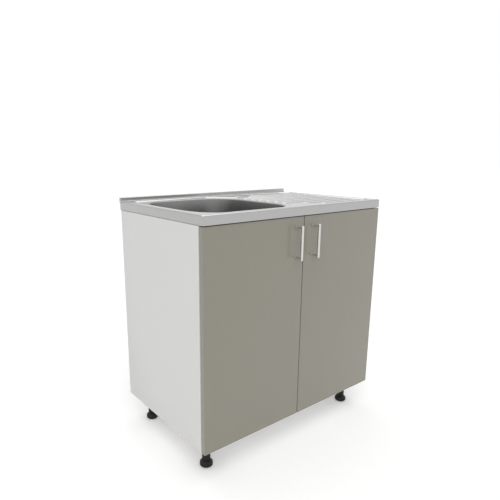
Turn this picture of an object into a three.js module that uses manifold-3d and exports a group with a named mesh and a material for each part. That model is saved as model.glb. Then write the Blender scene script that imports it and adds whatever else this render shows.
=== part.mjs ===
// Kitchen sink unit: an 800 mm cabinet with two doors and a lay-on pressed steel sink.
// Millimetres, +Z up, doors facing -Y. The floor is z = 0.
import * as THREE from 'three';
import { mergeVertices } from 'three/addons/utils/BufferGeometryUtils.js';
import Module from 'manifold-3d';

const wasm = await Module();
wasm.setup();

// ---- driving dimensions ----
const unitWidth = 800;
const carcassDepth = 475;
const carcassHeight = 700;
const board = 16; // chipboard of the carcass
const legHeight = 100;
const seat = 0.3; // clearance where two pieces touch

// doors
const doorThickness = 16;
const doorGap = 2; // between the doors' backs and the carcass
const doorTopReveal = 2;
const doorSideReveal = 1;
const doorCentreGap = 3;

// rails
const frontRailHeight = 80;
const rearRailHeight = 90;
const rearRailDrop = 100; // from the carcass top to the upper rear rail

// concealed hinges, measured from the door's outer edge and front face
const hingeEndDistance = 98; // from the door's end to the hinge
const cupRadius = 17.5;
const cupEdgeDistance = 5; // from the door's outer edge to the cup's hole
const cupDepth = 11.5;
const cupWall = 1;
const cupFlange = 1.2;
const cupEarReach = 30; // half length of the cup's flange
const cupEarHalf = 7;
const cupEarOffset = 9.5;
const cupEarRadius = 5;
const linkHeight = 8;
const linkThickness = 2.6;
const linkReach = 17; // crank of the link, across
const linkDrop = 10; // and down into the cup
const linkPin = 1.5; // radius
const linkEye = 3; // radius round the pin
const linkPinFromPanel = 4; // pin centre, from the side panel's inner face
const linkPinSetback = 2; // pin centre, behind the carcass front edge
const armSheet = 1.2;
const armLength = 72;
const armNose = 12; // from the pin to the full height of the arm
const armFootStart = 10; // from the pin to where the arm's foot starts
const armMouth = 8; // open front, from the pin
const armCut = 30; // how far the channel's cut runs past the nose
const armRise = 12; // arm's web, from the side panel's inner face
const plateThickness = 2.5;
const plateSetback = 37; // screw line, behind the carcass front edge
const plateScrewSpacing = 32;
const plateWingWidth = 14;
const plateSpineLength = 44;
const plateCornerRadius = 5;

// handles
const handleLength = 112;
const handleHoles = 96;
const handleWidth = 9;
const handleThickness = 8;
const handleStandOff = 25; // door face to the back of the bar
const handleFromCentre = 39;
const handleTopDrop = 25; // from the door's top to the top of the bar
const handlePostRadius = 4.5;
const handlePostNeck = 1; // step down from the post's foot
const handleBarRadius = 2.6; // of the bar's edges
const handleBarChamfer = 1.2;
const handleScrewRadius = 2;
const handleScrewHeadRadius = 4.5;
const handleScrewHead = doorGap - 2 * seat; // thin, clear of the front rail
const handleScrewBite = 10; // into the post

// legs
const legSideInset = 59;
const legFrontSetback = 57; // from the carcass front edge
const legRearSetback = 58.5;
const legPlateRadius = 30;
const legPlateThickness = 4;
const legSocketRadius = 18;
const legSocketHeight = 22;
const legColumnRadius = 13.8;
const footRadius = 21.5;
const footHeight = 22;
const footChamfer = 4; // round the sole
const footShoulder = 7; // height of the slope up to the column
const footStemRadius = 9;
const footStemLength = 46;

// sink
const sinkDepth = 500; // front face to the foot of the upstand
const upstandThickness = 9;
const upstandHeight = 14;
const upstandEdgeRadius = 3;
const sinkOverhang = 3.5; // past the doors' front face
const apronHeight = 30;
const apronReturn = 15; // flange turned in at the apron's foot
const sheet = 0.8;
const rimRoll = 5;
const sinkCornerRadius = 9;
const borderInset = 19.5; // outer edge of the step round the working area
const borderStep = 7;
const borderDrop = 4;
const borderCornerRadius = 36;
const bowlLeft = 47;
const bowlLength = 364.5;
const bowlFrontMargin = 43.5; // sink's front face to the bowl, clear of the front rail
const bowlRearMargin = 41.5;
const bowlDepth = 160;
const bowlLip = 4;
const bowlDraftX = 6;
const bowlDraftY = 12;
const bowlFilletX = 20;
const bowlFilletY = 29;
const bowlFilletHeight = 26;
const bowlTopSquareness = 4;
const bowlFloorSquareness = 4.5;
const drainSeatRadius = 61;
const drainSeatDrop = 5;
const drainHoleRadius = 46;
const tapHoleRadius = 17.5;
const tapHoleLeft = 445;
const tapHoleFromRear = 61.6;
const landingHalfWidth = 105;
const landingDepth = 76;
const landingRise = 3;
const landingSlope = 3.7;
const ribCount = 10;
const ribPitch = 42.1;
const ribWidth = 26.5;
const ribCornerRadius = 8;
const ribSlope = 3;
const ribRise = 2.3;
const ribRightInset = 46;
const ribLeft = 435; // left ends of the long ribs
const ribLeftSecond = 495; // of the second from each side
const ribLeftOuter = 543; // of the outer ones

// waste and trap
const wasteFlangeRadius = 58;
const wasteFlangeThickness = 2.2;
const wasteSleeveRadius = 45.5;
const wasteWall = 1.5;
const wasteBowlDepth = 42;
const wasteTailRadius = 20;
const wasteTailLength = 30;
const basketLedge = 3; // step that the basket rests on
const basketSlots = 18;
const basketHub = 14.5;
const basketSlotInner = 20;
const basketSlotOuter = 41;
const basketSpoke = 4.2; // metal left between two slots
const basketThickness = 1.6;
const basketKnobRadius = 6.5;
const basketKnobHeight = 14;
const gasketThickness = 3;
const gasketWidth = 11;
const backNutHeight = 12;
const backNutLugs = 8;
const backNutLug = 2.5; // how far a lug stands out, and half its width
const trapRadius = 32;
const trapHeight = 96;
const trapCupHeight = 40;
const trapWall = 2.4;
const trapOutletRadius = 20;
const trapOutletReach = 62; // from the trap's axis
const trapCollar = 14; // overlap of the cup's collar on the body
const trapShoulder = 18; // from the neck's top to the shoulder
const trapCupGrips = 10;
const trapNutGrips = 8;
const trapNutHeight = 20;
const trapNutWall = 5;
const gripRib = 1.5; // how far a grip rib stands out, and half its width

// facets round a circle
const wideRound = 28;
const round = 16;
const smallRound = 10;

// ---- places worked out from them ----
const halfWidth = unitWidth / 2;
const carcassFront = doorThickness + doorGap;
const carcassRear = carcassFront + carcassDepth;
const carcassTop = legHeight + carcassHeight;
const doorTop = carcassTop - doorTopReveal;
const doorWidth = halfWidth - doorSideReveal - doorCentreGap / 2;
const innerHalf = halfWidth - board;
const rimHeight = carcassTop + seat + apronHeight;
const bowlX = -halfWidth + bowlLeft + bowlLength / 2;
const bowlWidth = sinkDepth - bowlFrontMargin - bowlRearMargin;
const bowlY = bowlFrontMargin + bowlWidth / 2;
const floorLevel = -bowlDepth;
const drainLevel = floorLevel - drainSeatDrop;
const unitFront = -(handleStandOff + handleThickness + seat);
const unitRear = sinkDepth + upstandThickness - sinkOverhang;
const hingeLevels = { lower: legHeight + hingeEndDistance, upper: doorTop - hingeEndDistance };

// ---- materials ----
const finish = (color, roughness, metalness) => ({ color, roughness, metalness });
const whiteBoard = finish(0xd3d3d1, 0.45, 0);
const greyLacquer = finish(0x969385, 0.12, 0);
const stainless = finish(0xd8d8d6, 0.28, 1);
const satinMetal = finish(0xcdc8c3, 0.3, 1);
const zincPlate = finish(0xb9bab8, 0.35, 1);
const blackPlastic = finish(0x2b2c2b, 0.5, 0);
const whitePlastic = finish(0xe9e8e4, 0.4, 0);
const greyRubber = finish(0x3a3a3a, 0.85, 0);

const unit = new THREE.Group();

function place(name, shape, look, x = 0, y = 0, z = 0) {
  const geometry = shape.isBufferGeometry ? shape : asGeometry(shape);
  const mesh = new THREE.Mesh(geometry, new THREE.MeshStandardMaterial(look));
  mesh.name = name;
  mesh.position.set(x, y, z);
  unit.add(mesh);
  return mesh;
}

// ---- joining and cutting ----
function asSolid(geometry) {
  const bare = geometry.clone();
  bare.deleteAttribute('normal');
  bare.deleteAttribute('uv');
  const merged = mergeVertices(bare, 1e-4);
  const source = merged.index.array;
  const triangles = [];
  for (let i = 0; i < source.length; i += 3) {
    const [a, b, c] = [source[i], source[i + 1], source[i + 2]];
    if (a !== b && b !== c && c !== a) triangles.push(a, b, c);
  }
  return new wasm.Manifold(new wasm.Mesh({
    numProp: 3,
    vertProperties: new Float32Array(merged.attributes.position.array),
    triVerts: new Uint32Array(triangles),
  }));
}

function asGeometry(solid) {
  const mesh = solid.getMesh();
  const geometry = new THREE.BufferGeometry();
  geometry.setAttribute('position', new THREE.BufferAttribute(mesh.vertProperties, 3));
  geometry.setIndex(new THREE.BufferAttribute(mesh.triVerts, 1));
  geometry.computeVertexNormals();
  return geometry;
}

const join = (first, ...rest) => rest.reduce((all, next) => all.add(next), first);
const cut = (first, ...rest) => rest.reduce((all, next) => all.subtract(next), first);

// ---- basic forms ----
function box(x0, x1, y0, y1, z0, z1) {
  const geometry = new THREE.BoxGeometry(x1 - x0, y1 - y0, z1 - z0);
  return geometry.translate((x0 + x1) / 2, (y0 + y1) / 2, (z0 + z1) / 2);
}

// closed profile of [radius, height] points, turned about Z
function revolve(profile, steps = round) {
  const area = profile.reduce((sum, [r, z], i) => {
    const [nextR, nextZ] = profile[(i + 1) % profile.length];
    return sum + r * nextZ - nextR * z;
  }, 0);
  const ordered = area > 0 ? [...profile] : [...profile].reverse();
  const start = ordered.findIndex(([r], i) => r === 0 && ordered.at(i - 1)[0] === 0);
  const points = start < 0 ? [...ordered, ordered[0]]
    : [...ordered.slice(start), ...ordered.slice(0, start)];
  const geometry = new THREE.LatheGeometry(points.map(([r, z]) => new THREE.Vector2(r, z)), steps);
  return geometry.rotateX(Math.PI / 2);
}

// radius of a faceted bore whose flats clear a round of the given radius
const boreFor = (radius, steps = round) => (radius + seat) / Math.cos(Math.PI / steps);

function cylinder(radius, z0, z1, steps = round) {
  return revolve([[0, z0], [radius, z0], [radius, z1], [0, z1]], steps);
}

// flat outline in X and Y, raised from z0 to z1
function prism(shape, z0, z1, curveSegments = 2) {
  const settings = { depth: z1 - z0, bevelEnabled: false, curveSegments };
  const geometry = new THREE.ExtrudeGeometry(shape, settings);
  return geometry.translate(0, 0, z0);
}

function roundedShape(x0, y0, x1, y1, radius) {
  const shape = new THREE.Shape();
  shape.moveTo(x0 + radius, y0);
  shape.lineTo(x1 - radius, y0);
  shape.absarc(x1 - radius, y0 + radius, radius, -Math.PI / 2, 0, false);
  shape.lineTo(x1, y1 - radius);
  shape.absarc(x1 - radius, y1 - radius, radius, 0, Math.PI / 2, false);
  shape.lineTo(x0 + radius, y1);
  shape.absarc(x0 + radius, y1 - radius, radius, Math.PI / 2, Math.PI, false);
  shape.lineTo(x0, y0 + radius);
  shape.absarc(x0 + radius, y0 + radius, radius, Math.PI, 1.5 * Math.PI, false);
  return shape;
}

// rings of points, counter-clockwise seen from above, from the lowest to the highest
function loft(rings) {
  const count = rings[0].length;
  const points = rings.flat();
  const index = [];
  for (let k = 0; k < rings.length - 1; k += 1) {
    for (let i = 0; i < count; i += 1) {
      const a = k * count + i;
      const b = k * count + ((i + 1) % count);
      index.push(a, b, b + count, a, b + count, a + count);
    }
  }
  const top = (rings.length - 1) * count;
  const flat = (ring) => ring.map((p) => new THREE.Vector2(p.x, p.y));
  const lid = (ring) => THREE.ShapeUtils.triangulateShape(flat(ring), []);
  for (const [a, b, c] of lid(rings[0])) index.push(a, c, b);
  for (const [a, b, c] of lid(rings.at(-1))) index.push(top + a, top + b, top + c);
  const geometry = new THREE.BufferGeometry().setFromPoints(points);
  geometry.setIndex(index);
  return geometry;
}

function roundedRing(x0, y0, x1, y1, radius, z, cornerSteps = 5) {
  const corners = [[x1 - radius, y0 + radius], [x1 - radius, y1 - radius],
    [x0 + radius, y1 - radius], [x0 + radius, y0 + radius]];
  return corners.flatMap(([cx, cy], quarter) => Array.from({ length: cornerSteps + 1 }, (_, i) => {
    const angle = ((quarter - 1 + i / cornerSteps) * Math.PI) / 2;
    return new THREE.Vector3(cx + radius * Math.cos(angle), cy + radius * Math.sin(angle), z);
  }));
}

// rounded oblong whose sides bow a little; squareness 2 is an ellipse
function bowedRing(cx, cy, halfX, halfY, squareness, z, steps = 44) {
  const bow = (value) => Math.sign(value) * Math.abs(value) ** (2 / squareness);
  return Array.from({ length: steps }, (_, i) => {
    const angle = ((i + 0.5) / steps) * 2 * Math.PI;
    return new THREE.Vector3(cx + halfX * bow(Math.cos(angle)), cy + halfY * bow(Math.sin(angle)), z);
  });
}

// ---- carcass ----
function makeCarcass() {
  for (const [side, sign] of [['left', -1], ['right', 1]]) {
    const panel = box(-board / 2, board / 2, carcassFront, carcassRear, legHeight, carcassTop);
    place(`side_${side}`, panel, whiteBoard, sign * (halfWidth - board / 2));
  }
  const reach = innerHalf - seat;
  const across = (name, y0, y1, z0, z1) => place(name, box(-reach, reach, y0, y1, z0, z1), whiteBoard);
  const bottomTop = legHeight + board;
  const upperRailTop = carcassTop - rearRailDrop;
  const railFront = carcassRear - board;
  across('bottom_panel', carcassFront, carcassRear, legHeight, bottomTop);
  across('front_rail', carcassFront, carcassFront + board, carcassTop - frontRailHeight, carcassTop);
  across('rear_rail_upper', railFront, carcassRear, upperRailTop - rearRailHeight, upperRailTop);
  across('rear_rail_lower', railFront, carcassRear, bottomTop + seat, bottomTop + rearRailHeight);
}

// ---- doors ----
// u runs from the cabinet's outer side face inwards, on either side
const cupCentre = doorSideReveal + cupEdgeDistance + cupRadius;
const handleMiddle = doorTop - handleTopDrop - handleLength / 2;
const handleHoleLevels = [handleMiddle - handleHoles / 2, handleMiddle + handleHoles / 2];

function alongY(geometry) {
  return geometry.rotateX(Math.PI / 2); // an axis along +Z comes to lie along -Y
}

function makeDoor(side, sign) {
  const acrossAt = (u) => sign * (halfWidth - u);
  const outer = acrossAt(doorSideReveal);
  const inner = acrossAt(doorSideReveal + doorWidth);
  const [x0, x1] = [Math.min(outer, inner), Math.max(outer, inner)];
  let door = asSolid(box(x0, x1, 0, doorThickness, legHeight, doorTop));
  const cupFloor = doorThickness - cupDepth - seat;
  for (const level of Object.values(hingeLevels)) {
    const hole = alongY(cylinder(boreFor(cupRadius), -doorThickness - 1, -cupFloor));
    door = cut(door, asSolid(hole.translate(acrossAt(cupCentre), 0, level)));
  }
  const screwBore = boreFor(handleScrewRadius, smallRound);
  for (const level of handleHoleLevels) {
    const hole = alongY(cylinder(screwBore, -doorThickness - 1, 1, smallRound));
    door = cut(door, asSolid(hole.translate(sign * handleFromCentre, 0, level)));
  }
  place(`door_${side}`, door, greyLacquer);
}

function makeHandle(side, sign) {
  const chamfer = handleBarChamfer;
  const [halfBar, halfThick] = [handleWidth / 2, handleThickness / 2];
  const outline = roundedShape(-halfBar, -halfThick, halfBar, halfThick, handleBarRadius);
  const bar = new THREE.ExtrudeGeometry(outline, {
    depth: handleLength - 2 * chamfer,
    curveSegments: 2,
    bevelSegments: 1,
    bevelThickness: chamfer,
    bevelSize: chamfer,
    bevelOffset: -chamfer,
  });
  const barMiddle = -(handleStandOff + halfThick + seat);
  const neck = handlePostRadius - handlePostNeck;
  const screwBore = boreFor(handleScrewRadius, smallRound);
  bar.translate(0, barMiddle, handleMiddle - handleLength / 2 + chamfer);
  let handle = asSolid(bar);
  for (const level of handleHoleLevels) {
    const post = alongY(revolve([[0, seat], [handlePostRadius, seat], [handlePostRadius, 3],
      [neck, 5], [neck, -barMiddle], [0, -barMiddle]], smallRound));
    const bore = alongY(cylinder(screwBore, 0, handleScrewBite + seat, smallRound));
    handle = join(handle, asSolid(post.translate(0, 0, level)));
    handle = cut(handle, asSolid(bore.translate(0, 0, level)));
  }
  place(`handle_${side}`, handle, satinMetal, sign * handleFromCentre);

  handleHoleLevels.forEach((level, i) => {
    const back = -(doorThickness + seat);
    const head = back - handleScrewHead;
    const screw = alongY(revolve([[0, head], [handleScrewHeadRadius - 1, head],
      [handleScrewHeadRadius, head + handleScrewHead / 2], [handleScrewHeadRadius, back],
      [handleScrewRadius, back], [handleScrewRadius, handleScrewBite], [0, handleScrewBite]], smallRound));
    const name = `handle_screw_${i ? 'upper' : 'lower'}_${side}`;
    place(name, screw, zincPlate, sign * handleFromCentre, 0, level);
  });
}

// ---- concealed hinges ----
// Shapes are drawn for the left side, in u (from the outer side face) and y; sign mirrors them.
const pinU = board + linkPinFromPanel;
const pinY = carcassFront + linkPinSetback;

function hingeCup(side, sign, where, level) {
  const back = doorThickness - cupDepth;
  const bore = cupRadius - cupWall;
  const cup = alongY(revolve([[0, -back], [cupRadius - 1.5, -back], [cupRadius, -back - 1.5],
    [cupRadius, -doorThickness - seat - cupFlange], [bore, -doorThickness - seat - cupFlange],
    [bore, -back - cupWall], [0, -back - cupWall]]));
  const ear = roundedShape(cupEarOffset - cupEarHalf, -cupEarReach,
    cupEarOffset + cupEarHalf, cupEarReach, cupEarRadius);
  const flangeFrom = doorThickness + seat;
  const upright = (geometry) => geometry.rotateX(Math.PI / 2).translate(0, flangeFrom + cupFlange, 0);
  const ears = upright(prism(ear, 0, cupFlange));
  const disc = upright(cylinder(cupRadius + 1, 0, cupFlange));
  const mouth = alongY(cylinder(bore, -flangeFrom - cupFlange - 1, -back - cupWall - 2));
  let shape = cut(join(asSolid(ears), asSolid(disc)), asSolid(mouth));
  shape = join(shape, asSolid(cup));
  if (sign > 0) shape = shape.mirror([1, 0, 0]);
  place(`hinge_cup_${where}_${side}`, shape, zincPlate, sign * (halfWidth - cupCentre), 0, level);
}

function hingeLink(side, sign, where, level) {
  const half = linkThickness / 2;
  const flip = -sign;
  const turn = (x) => flip * x;
  const link = new THREE.Shape();
  link.moveTo(turn(0), half);
  link.lineTo(turn(linkReach - half), half);
  link.quadraticCurveTo(turn(linkReach + half), half, turn(linkReach + half), -linkThickness);
  link.lineTo(turn(linkReach + half), -linkDrop);
  link.quadraticCurveTo(turn(linkReach), -linkDrop - linkThickness, turn(linkReach - half), -linkDrop);
  link.lineTo(turn(linkReach - half), -linkThickness);
  link.lineTo(turn(linkReach - linkThickness), -half);
  link.lineTo(turn(0), -half);
  const blank = asSolid(prism(link, -linkHeight / 2, linkHeight / 2));
  const eye = asSolid(cylinder(linkEye, -linkHeight / 2, linkHeight / 2, 16));
  const hole = asSolid(cylinder(boreFor(linkPin, smallRound), -linkHeight, linkHeight, smallRound));
  const shape = cut(join(blank, eye), hole);
  place(`hinge_link_${where}_${side}`, shape, zincPlate, sign * (halfWidth - pinU), pinY, level);
}

function hingeArm(side, sign, where, level) {
  const flip = -sign;
  const at = (u, y) => [flip * (u - pinU), y - pinY];
  const webOuter = board + armRise;
  const foot = board + seat + plateThickness + seat;
  const rear = pinY + armLength;
  const outline = (inset) => {
    const cheek = new THREE.Shape();
    cheek.moveTo(...at(pinU + linkEye, pinY));
    cheek.lineTo(...at(webOuter - inset, pinY + armNose));
    cheek.lineTo(...at(webOuter - inset, rear + (inset ? 1 : 0)));
    const past = inset ? armRise * 0.75 : 0; // the cut is open towards the panel
    const start = pinY + armFootStart - (inset ? armCut : 0);
    cheek.lineTo(...at(foot - past, rear + (inset ? 1 : 0)));
    cheek.lineTo(...at(foot - past, start));
    if (!inset) cheek.lineTo(...at(pinU - linkEye, pinY));
    if (inset) cheek.lineTo(...at(pinU + linkEye + armCut, start));
    return cheek;
  };
  const innerHalfHeight = linkHeight / 2 + 2 * seat;
  const outerHalfHeight = innerHalfHeight + armSheet;
  const block = asSolid(prism(outline(0), -outerHalfHeight, outerHalfHeight));
  const nose = asSolid(cylinder(linkEye, -outerHalfHeight, outerHalfHeight, 16));
  const channel = asSolid(prism(outline(armSheet), -innerHalfHeight, innerHalfHeight));
  const reach = armFootStart + armCut;
  const front = asSolid(box(-reach, reach, -reach, armMouth, -innerHalfHeight, innerHalfHeight));
  const pin = asSolid(cylinder(linkPin, -outerHalfHeight, outerHalfHeight, smallRound));
  const shape = join(cut(join(block, nose), channel, front), pin);
  place(`hinge_arm_${where}_${side}`, shape, zincPlate, sign * (halfWidth - pinU), pinY, level);
}

function hingePlate(side, sign, where, level) {
  const screwLine = carcassFront + plateSetback;
  const spineFrom = screwLine - plateWingWidth / 2 - 6;
  const boss = linkHeight / 2 + seat;
  const wingHalf = plateScrewSpacing / 2 + 8;
  const face = board + seat;
  const bossTop = board + armRise - armSheet - seat;
  const alongX = (geometry) => geometry.rotateY(Math.PI / 2);
  // drawn in z (across) and y, then raised along u
  const spineTo = spineFrom + plateSpineLength;
  const wings = alongX(prism(roundedShape(-wingHalf, screwLine - plateWingWidth / 2,
    wingHalf, screwLine + plateWingWidth / 2, plateCornerRadius), face, face + plateThickness));
  const spine = alongX(prism(roundedShape(-boss - 2, spineFrom, boss + 2, spineTo, 3),
    face, face + plateThickness));
  const key = alongX(box(-boss, boss, spineFrom + 3, spineTo - 3, face, bossTop));
  let shape = join(asSolid(wings), asSolid(spine), asSolid(key));
  if (sign > 0) shape = shape.mirror([1, 0, 0]);
  place(`hinge_plate_${where}_${side}`, shape, zincPlate, sign * halfWidth, 0, level);
}

function makeDoorSet(side, sign) {
  makeDoor(side, sign);
  makeHandle(side, sign);
  for (const [where, level] of Object.entries(hingeLevels)) {
    hingeCup(side, sign, where, level);
    hingeLink(side, sign, where, level);
    hingeArm(side, sign, where, level);
    hingePlate(side, sign, where, level);
  }
}

// ---- legs ----
function makeLegs() {
  const top = legHeight - seat;
  const columnFoot = footHeight + seat;
  const bore = boreFor(footStemRadius);
  const plateFoot = top - legPlateThickness;
  const socketFoot = plateFoot - legSocketHeight;
  const boreTop = columnFoot + footStemLength + 2;
  const column = revolve([[bore, columnFoot], [legColumnRadius, columnFoot],
    [legColumnRadius, socketFoot - 3], [legSocketRadius, socketFoot], [legSocketRadius + 1, plateFoot - 4],
    [legSocketRadius + 5, plateFoot], [legPlateRadius, plateFoot], [legPlateRadius, top], [0, top],
    [0, boreTop], [bore, boreTop]]);
  const foot = revolve([[0, 0], [footRadius - footChamfer, 0], [footRadius, footChamfer],
    [footRadius, footHeight - footShoulder], [legColumnRadius + 1, footHeight - 0.6],
    [legColumnRadius, footHeight], [footStemRadius, footHeight],
    [footStemRadius, footHeight + footStemLength], [0, footHeight + footStemLength]]);
  const rows = [['front', carcassFront + legFrontSetback], ['rear', carcassRear - legRearSetback]];
  for (const [row, y] of rows) {
    for (const [side, sign] of [['left', -1], ['right', 1]]) {
      const x = sign * (halfWidth - legSideInset);
      place(`leg_${row}_${side}`, column, blackPlastic, x, y);
      place(`foot_${row}_${side}`, foot, blackPlastic, x, y);
    }
  }
}

// ---- sink ----
// Drawn with the rim's top at z = 0, its front face at y = 0 and its middle at x = 0.
function deckBlock(skin) {
  const steps = 3;
  const roll = rimRoll - skin;
  const low = skin > 0 ? -apronHeight - 1 : -apronHeight;
  const ring = (inset, z) => roundedRing(-halfWidth + inset, inset, halfWidth - inset,
    sinkDepth + upstandThickness - inset, sinkCornerRadius - inset, z);
  const rings = [ring(skin, low)];
  for (let i = 0; i <= steps; i += 1) {
    const angle = (i / steps) * (Math.PI / 2);
    rings.push(ring(skin + roll * (1 - Math.cos(angle)), -skin - roll * (1 - Math.sin(angle))));
  }
  return asSolid(loft(rings));
}

function upstandBlock(skin) {
  const low = skin > 0 ? -apronHeight - 1 : -apronHeight;
  const rear = sinkDepth + upstandThickness - skin;
  const front = sinkDepth + skin;
  const top = upstandHeight - skin;
  const edge = upstandEdgeRadius - skin;
  const end = halfWidth - skin;
  const shoulder = 0.3 * edge;
  const ring = (inset, z) => roundedRing(-end + inset, front + inset, end - inset, rear - inset,
    edge - inset, z, 2);
  return asSolid(loft([ring(0, low), ring(0, top - edge), ring(shoulder, top - shoulder),
    ring(0.9 * edge, top)]));
}

function workingRecess(skin) {
  const ring = (inset, z) => roundedRing(-halfWidth + inset, inset, halfWidth - inset,
    sinkDepth - inset, borderCornerRadius - (inset - borderInset), z);
  return asSolid(loft([ring(borderInset + borderStep, -borderDrop - skin), ring(borderInset, -skin),
    ring(borderInset, 2 * upstandHeight)]));
}

// bell-shaped flat beside the border, its curve given from the tap hole's line
const landingX = tapHoleLeft - halfWidth;
const landingEdge = borderInset + borderStep + 1;

function landingRing(inset, z, atRear) {
  const steps = 14;
  const half = landingHalfWidth - inset;
  const depth = landingDepth - inset;
  const points = [];
  for (let i = 0; i <= steps; i += 1) {
    const t = (2 * i) / steps - 1;
    const bell = depth * (0.5 + 0.5 * Math.cos(Math.PI * t));
    points.push([landingX + half * t, Math.max(bell, 0) + landingEdge + inset]);
  }
  points[0][1] = landingEdge;
  points[steps][1] = landingEdge;
  if (atRear) return points.map(([x, y]) => new THREE.Vector3(x, sinkDepth - y, z));
  return points.reverse().map(([x, y]) => new THREE.Vector3(x, y, z));
}

function landing(skin, atRear) {
  const low = -borderDrop - skin;
  const rings = [landingRing(0, low - 1, atRear), landingRing(0, low, atRear),
    landingRing(landingSlope, low + landingRise, atRear)];
  return asSolid(loft(rings));
}

function drainerRib(row, skin) {
  const fromEdge = Math.min(row, ribCount - 1 - row);
  const left = [ribLeftOuter, ribLeftSecond][fromEdge] ?? ribLeft;
  const y = sinkDepth / 2 + (row - (ribCount - 1) / 2) * ribPitch;
  const low = -borderDrop - skin;
  const ring = (inset, z) => roundedRing(left - halfWidth + inset, y - ribWidth / 2 + inset,
    halfWidth - ribRightInset - inset, y + ribWidth / 2 - inset, ribCornerRadius - inset, z, 3);
  return asSolid(loft([ring(0, low - 1), ring(0, low), ring(ribSlope, low + ribRise)]));
}

function pressedFace(skin) {
  let face = cut(join(deckBlock(skin), upstandBlock(skin)), workingRecess(skin));
  face = join(face, landing(skin, true), landing(skin, false));
  for (let row = 0; row < ribCount; row += 1) face = join(face, drainerRib(row, skin));
  return face;
}

// rings of the bowl's wall, from the floor up to its lip; skin moves them outwards
function bowlRings(skin) {
  const arcSteps = 4;
  const wallSquareness = (bowlTopSquareness + bowlFloorSquareness) / 2;
  const lipTop = -borderDrop;
  const rings = [];
  const ring = (insetX, insetY, squareness, z) => bowedRing(bowlX, bowlY, bowlLength / 2 - insetX,
    bowlWidth / 2 - insetY, squareness, z);
  for (let i = 0; i <= arcSteps; i += 1) {
    const angle = (i / arcSteps) * (Math.PI / 2);
    const across = Math.sin(angle);
    const squareness = bowlFloorSquareness + (wallSquareness - bowlFloorSquareness) * (i / arcSteps);
    rings.push(ring(bowlDraftX + bowlFilletX - (bowlFilletX + skin) * across,
      bowlDraftY + bowlFilletY - (bowlFilletY + skin) * across, squareness,
      floorLevel + bowlFilletHeight - (bowlFilletHeight + skin) * Math.cos(angle)));
  }
  rings.push(ring((bowlDraftX * 2) / 5 - skin, (bowlDraftY * 2) / 5 - skin,
    (wallSquareness + bowlTopSquareness) / 2, floorLevel / 2));
  const lip = bowlLip - skin;
  for (let i = 0; i <= 2; i += 1) {
    const angle = (i / 2) * (Math.PI / 2);
    const out = -bowlLip + lip * Math.cos(angle);
    rings.push(ring(out, out, bowlTopSquareness, lipTop - bowlLip + lip * Math.sin(angle)));
  }
  return rings;
}

function makeSink() {
  let sink = cut(pressedFace(0), pressedFace(sheet));
  const outlineRing = (inset, z) => roundedRing(-halfWidth + inset, inset, halfWidth - inset,
    sinkDepth + upstandThickness - inset, Math.max(sinkCornerRadius - inset, 1), z);
  const foot = asSolid(loft([outlineRing(0, -apronHeight), outlineRing(0, -apronHeight + sheet)]));
  const footOpening = asSolid(loft([outlineRing(apronReturn, -apronHeight - 1),
    outlineRing(apronReturn, -apronHeight + 2 * sheet)]));
  sink = join(sink, cut(foot, footOpening));
  sink = join(sink, asSolid(loft(bowlRings(sheet))));
  const hollow = bowlRings(0);
  const lifted = hollow.at(-1).map((p) => new THREE.Vector3(p.x, p.y, upstandHeight));
  const drain = (radius, z0, z1) => asSolid(
    cylinder(radius, z0, z1, wideRound).translate(bowlX, bowlY, 0));
  sink = join(sink, drain(drainSeatRadius + sheet, drainLevel - sheet, floorLevel - sheet / 2));
  sink = cut(sink, asSolid(loft([...hollow, lifted])),
    drain(drainSeatRadius, drainLevel, floorLevel + 1),
    drain(drainHoleRadius, drainLevel - 2 * sheet, floorLevel));
  const tapHole = cylinder(tapHoleRadius, -apronHeight, upstandHeight);
  sink = cut(sink, asSolid(tapHole.translate(landingX, sinkDepth - tapHoleFromRear, 0)));
  place('sink_top', sink, stainless, 0, -sinkOverhang, rimHeight);
}

// ---- waste and trap ----
// a slot widens outwards, so that the spokes between the slots keep one width
function basketSlot() {
  const half = (radius) => (Math.PI * radius) / basketSlots - basketSpoke / 2;
  const slot = new THREE.Shape();
  const [inner, outer] = [half(basketSlotInner), half(basketSlotOuter)];
  slot.moveTo(basketSlotInner + inner / 2, -inner);
  slot.lineTo(basketSlotOuter - outer / 2, -outer + outer / 8);
  slot.lineTo(basketSlotOuter, -outer / 2);
  slot.lineTo(basketSlotOuter, outer / 2);
  slot.lineTo(basketSlotOuter - outer / 2, outer - outer / 8);
  slot.lineTo(basketSlotInner + inner / 2, inner);
  slot.lineTo(basketSlotInner, 0);
  return slot;
}

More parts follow.
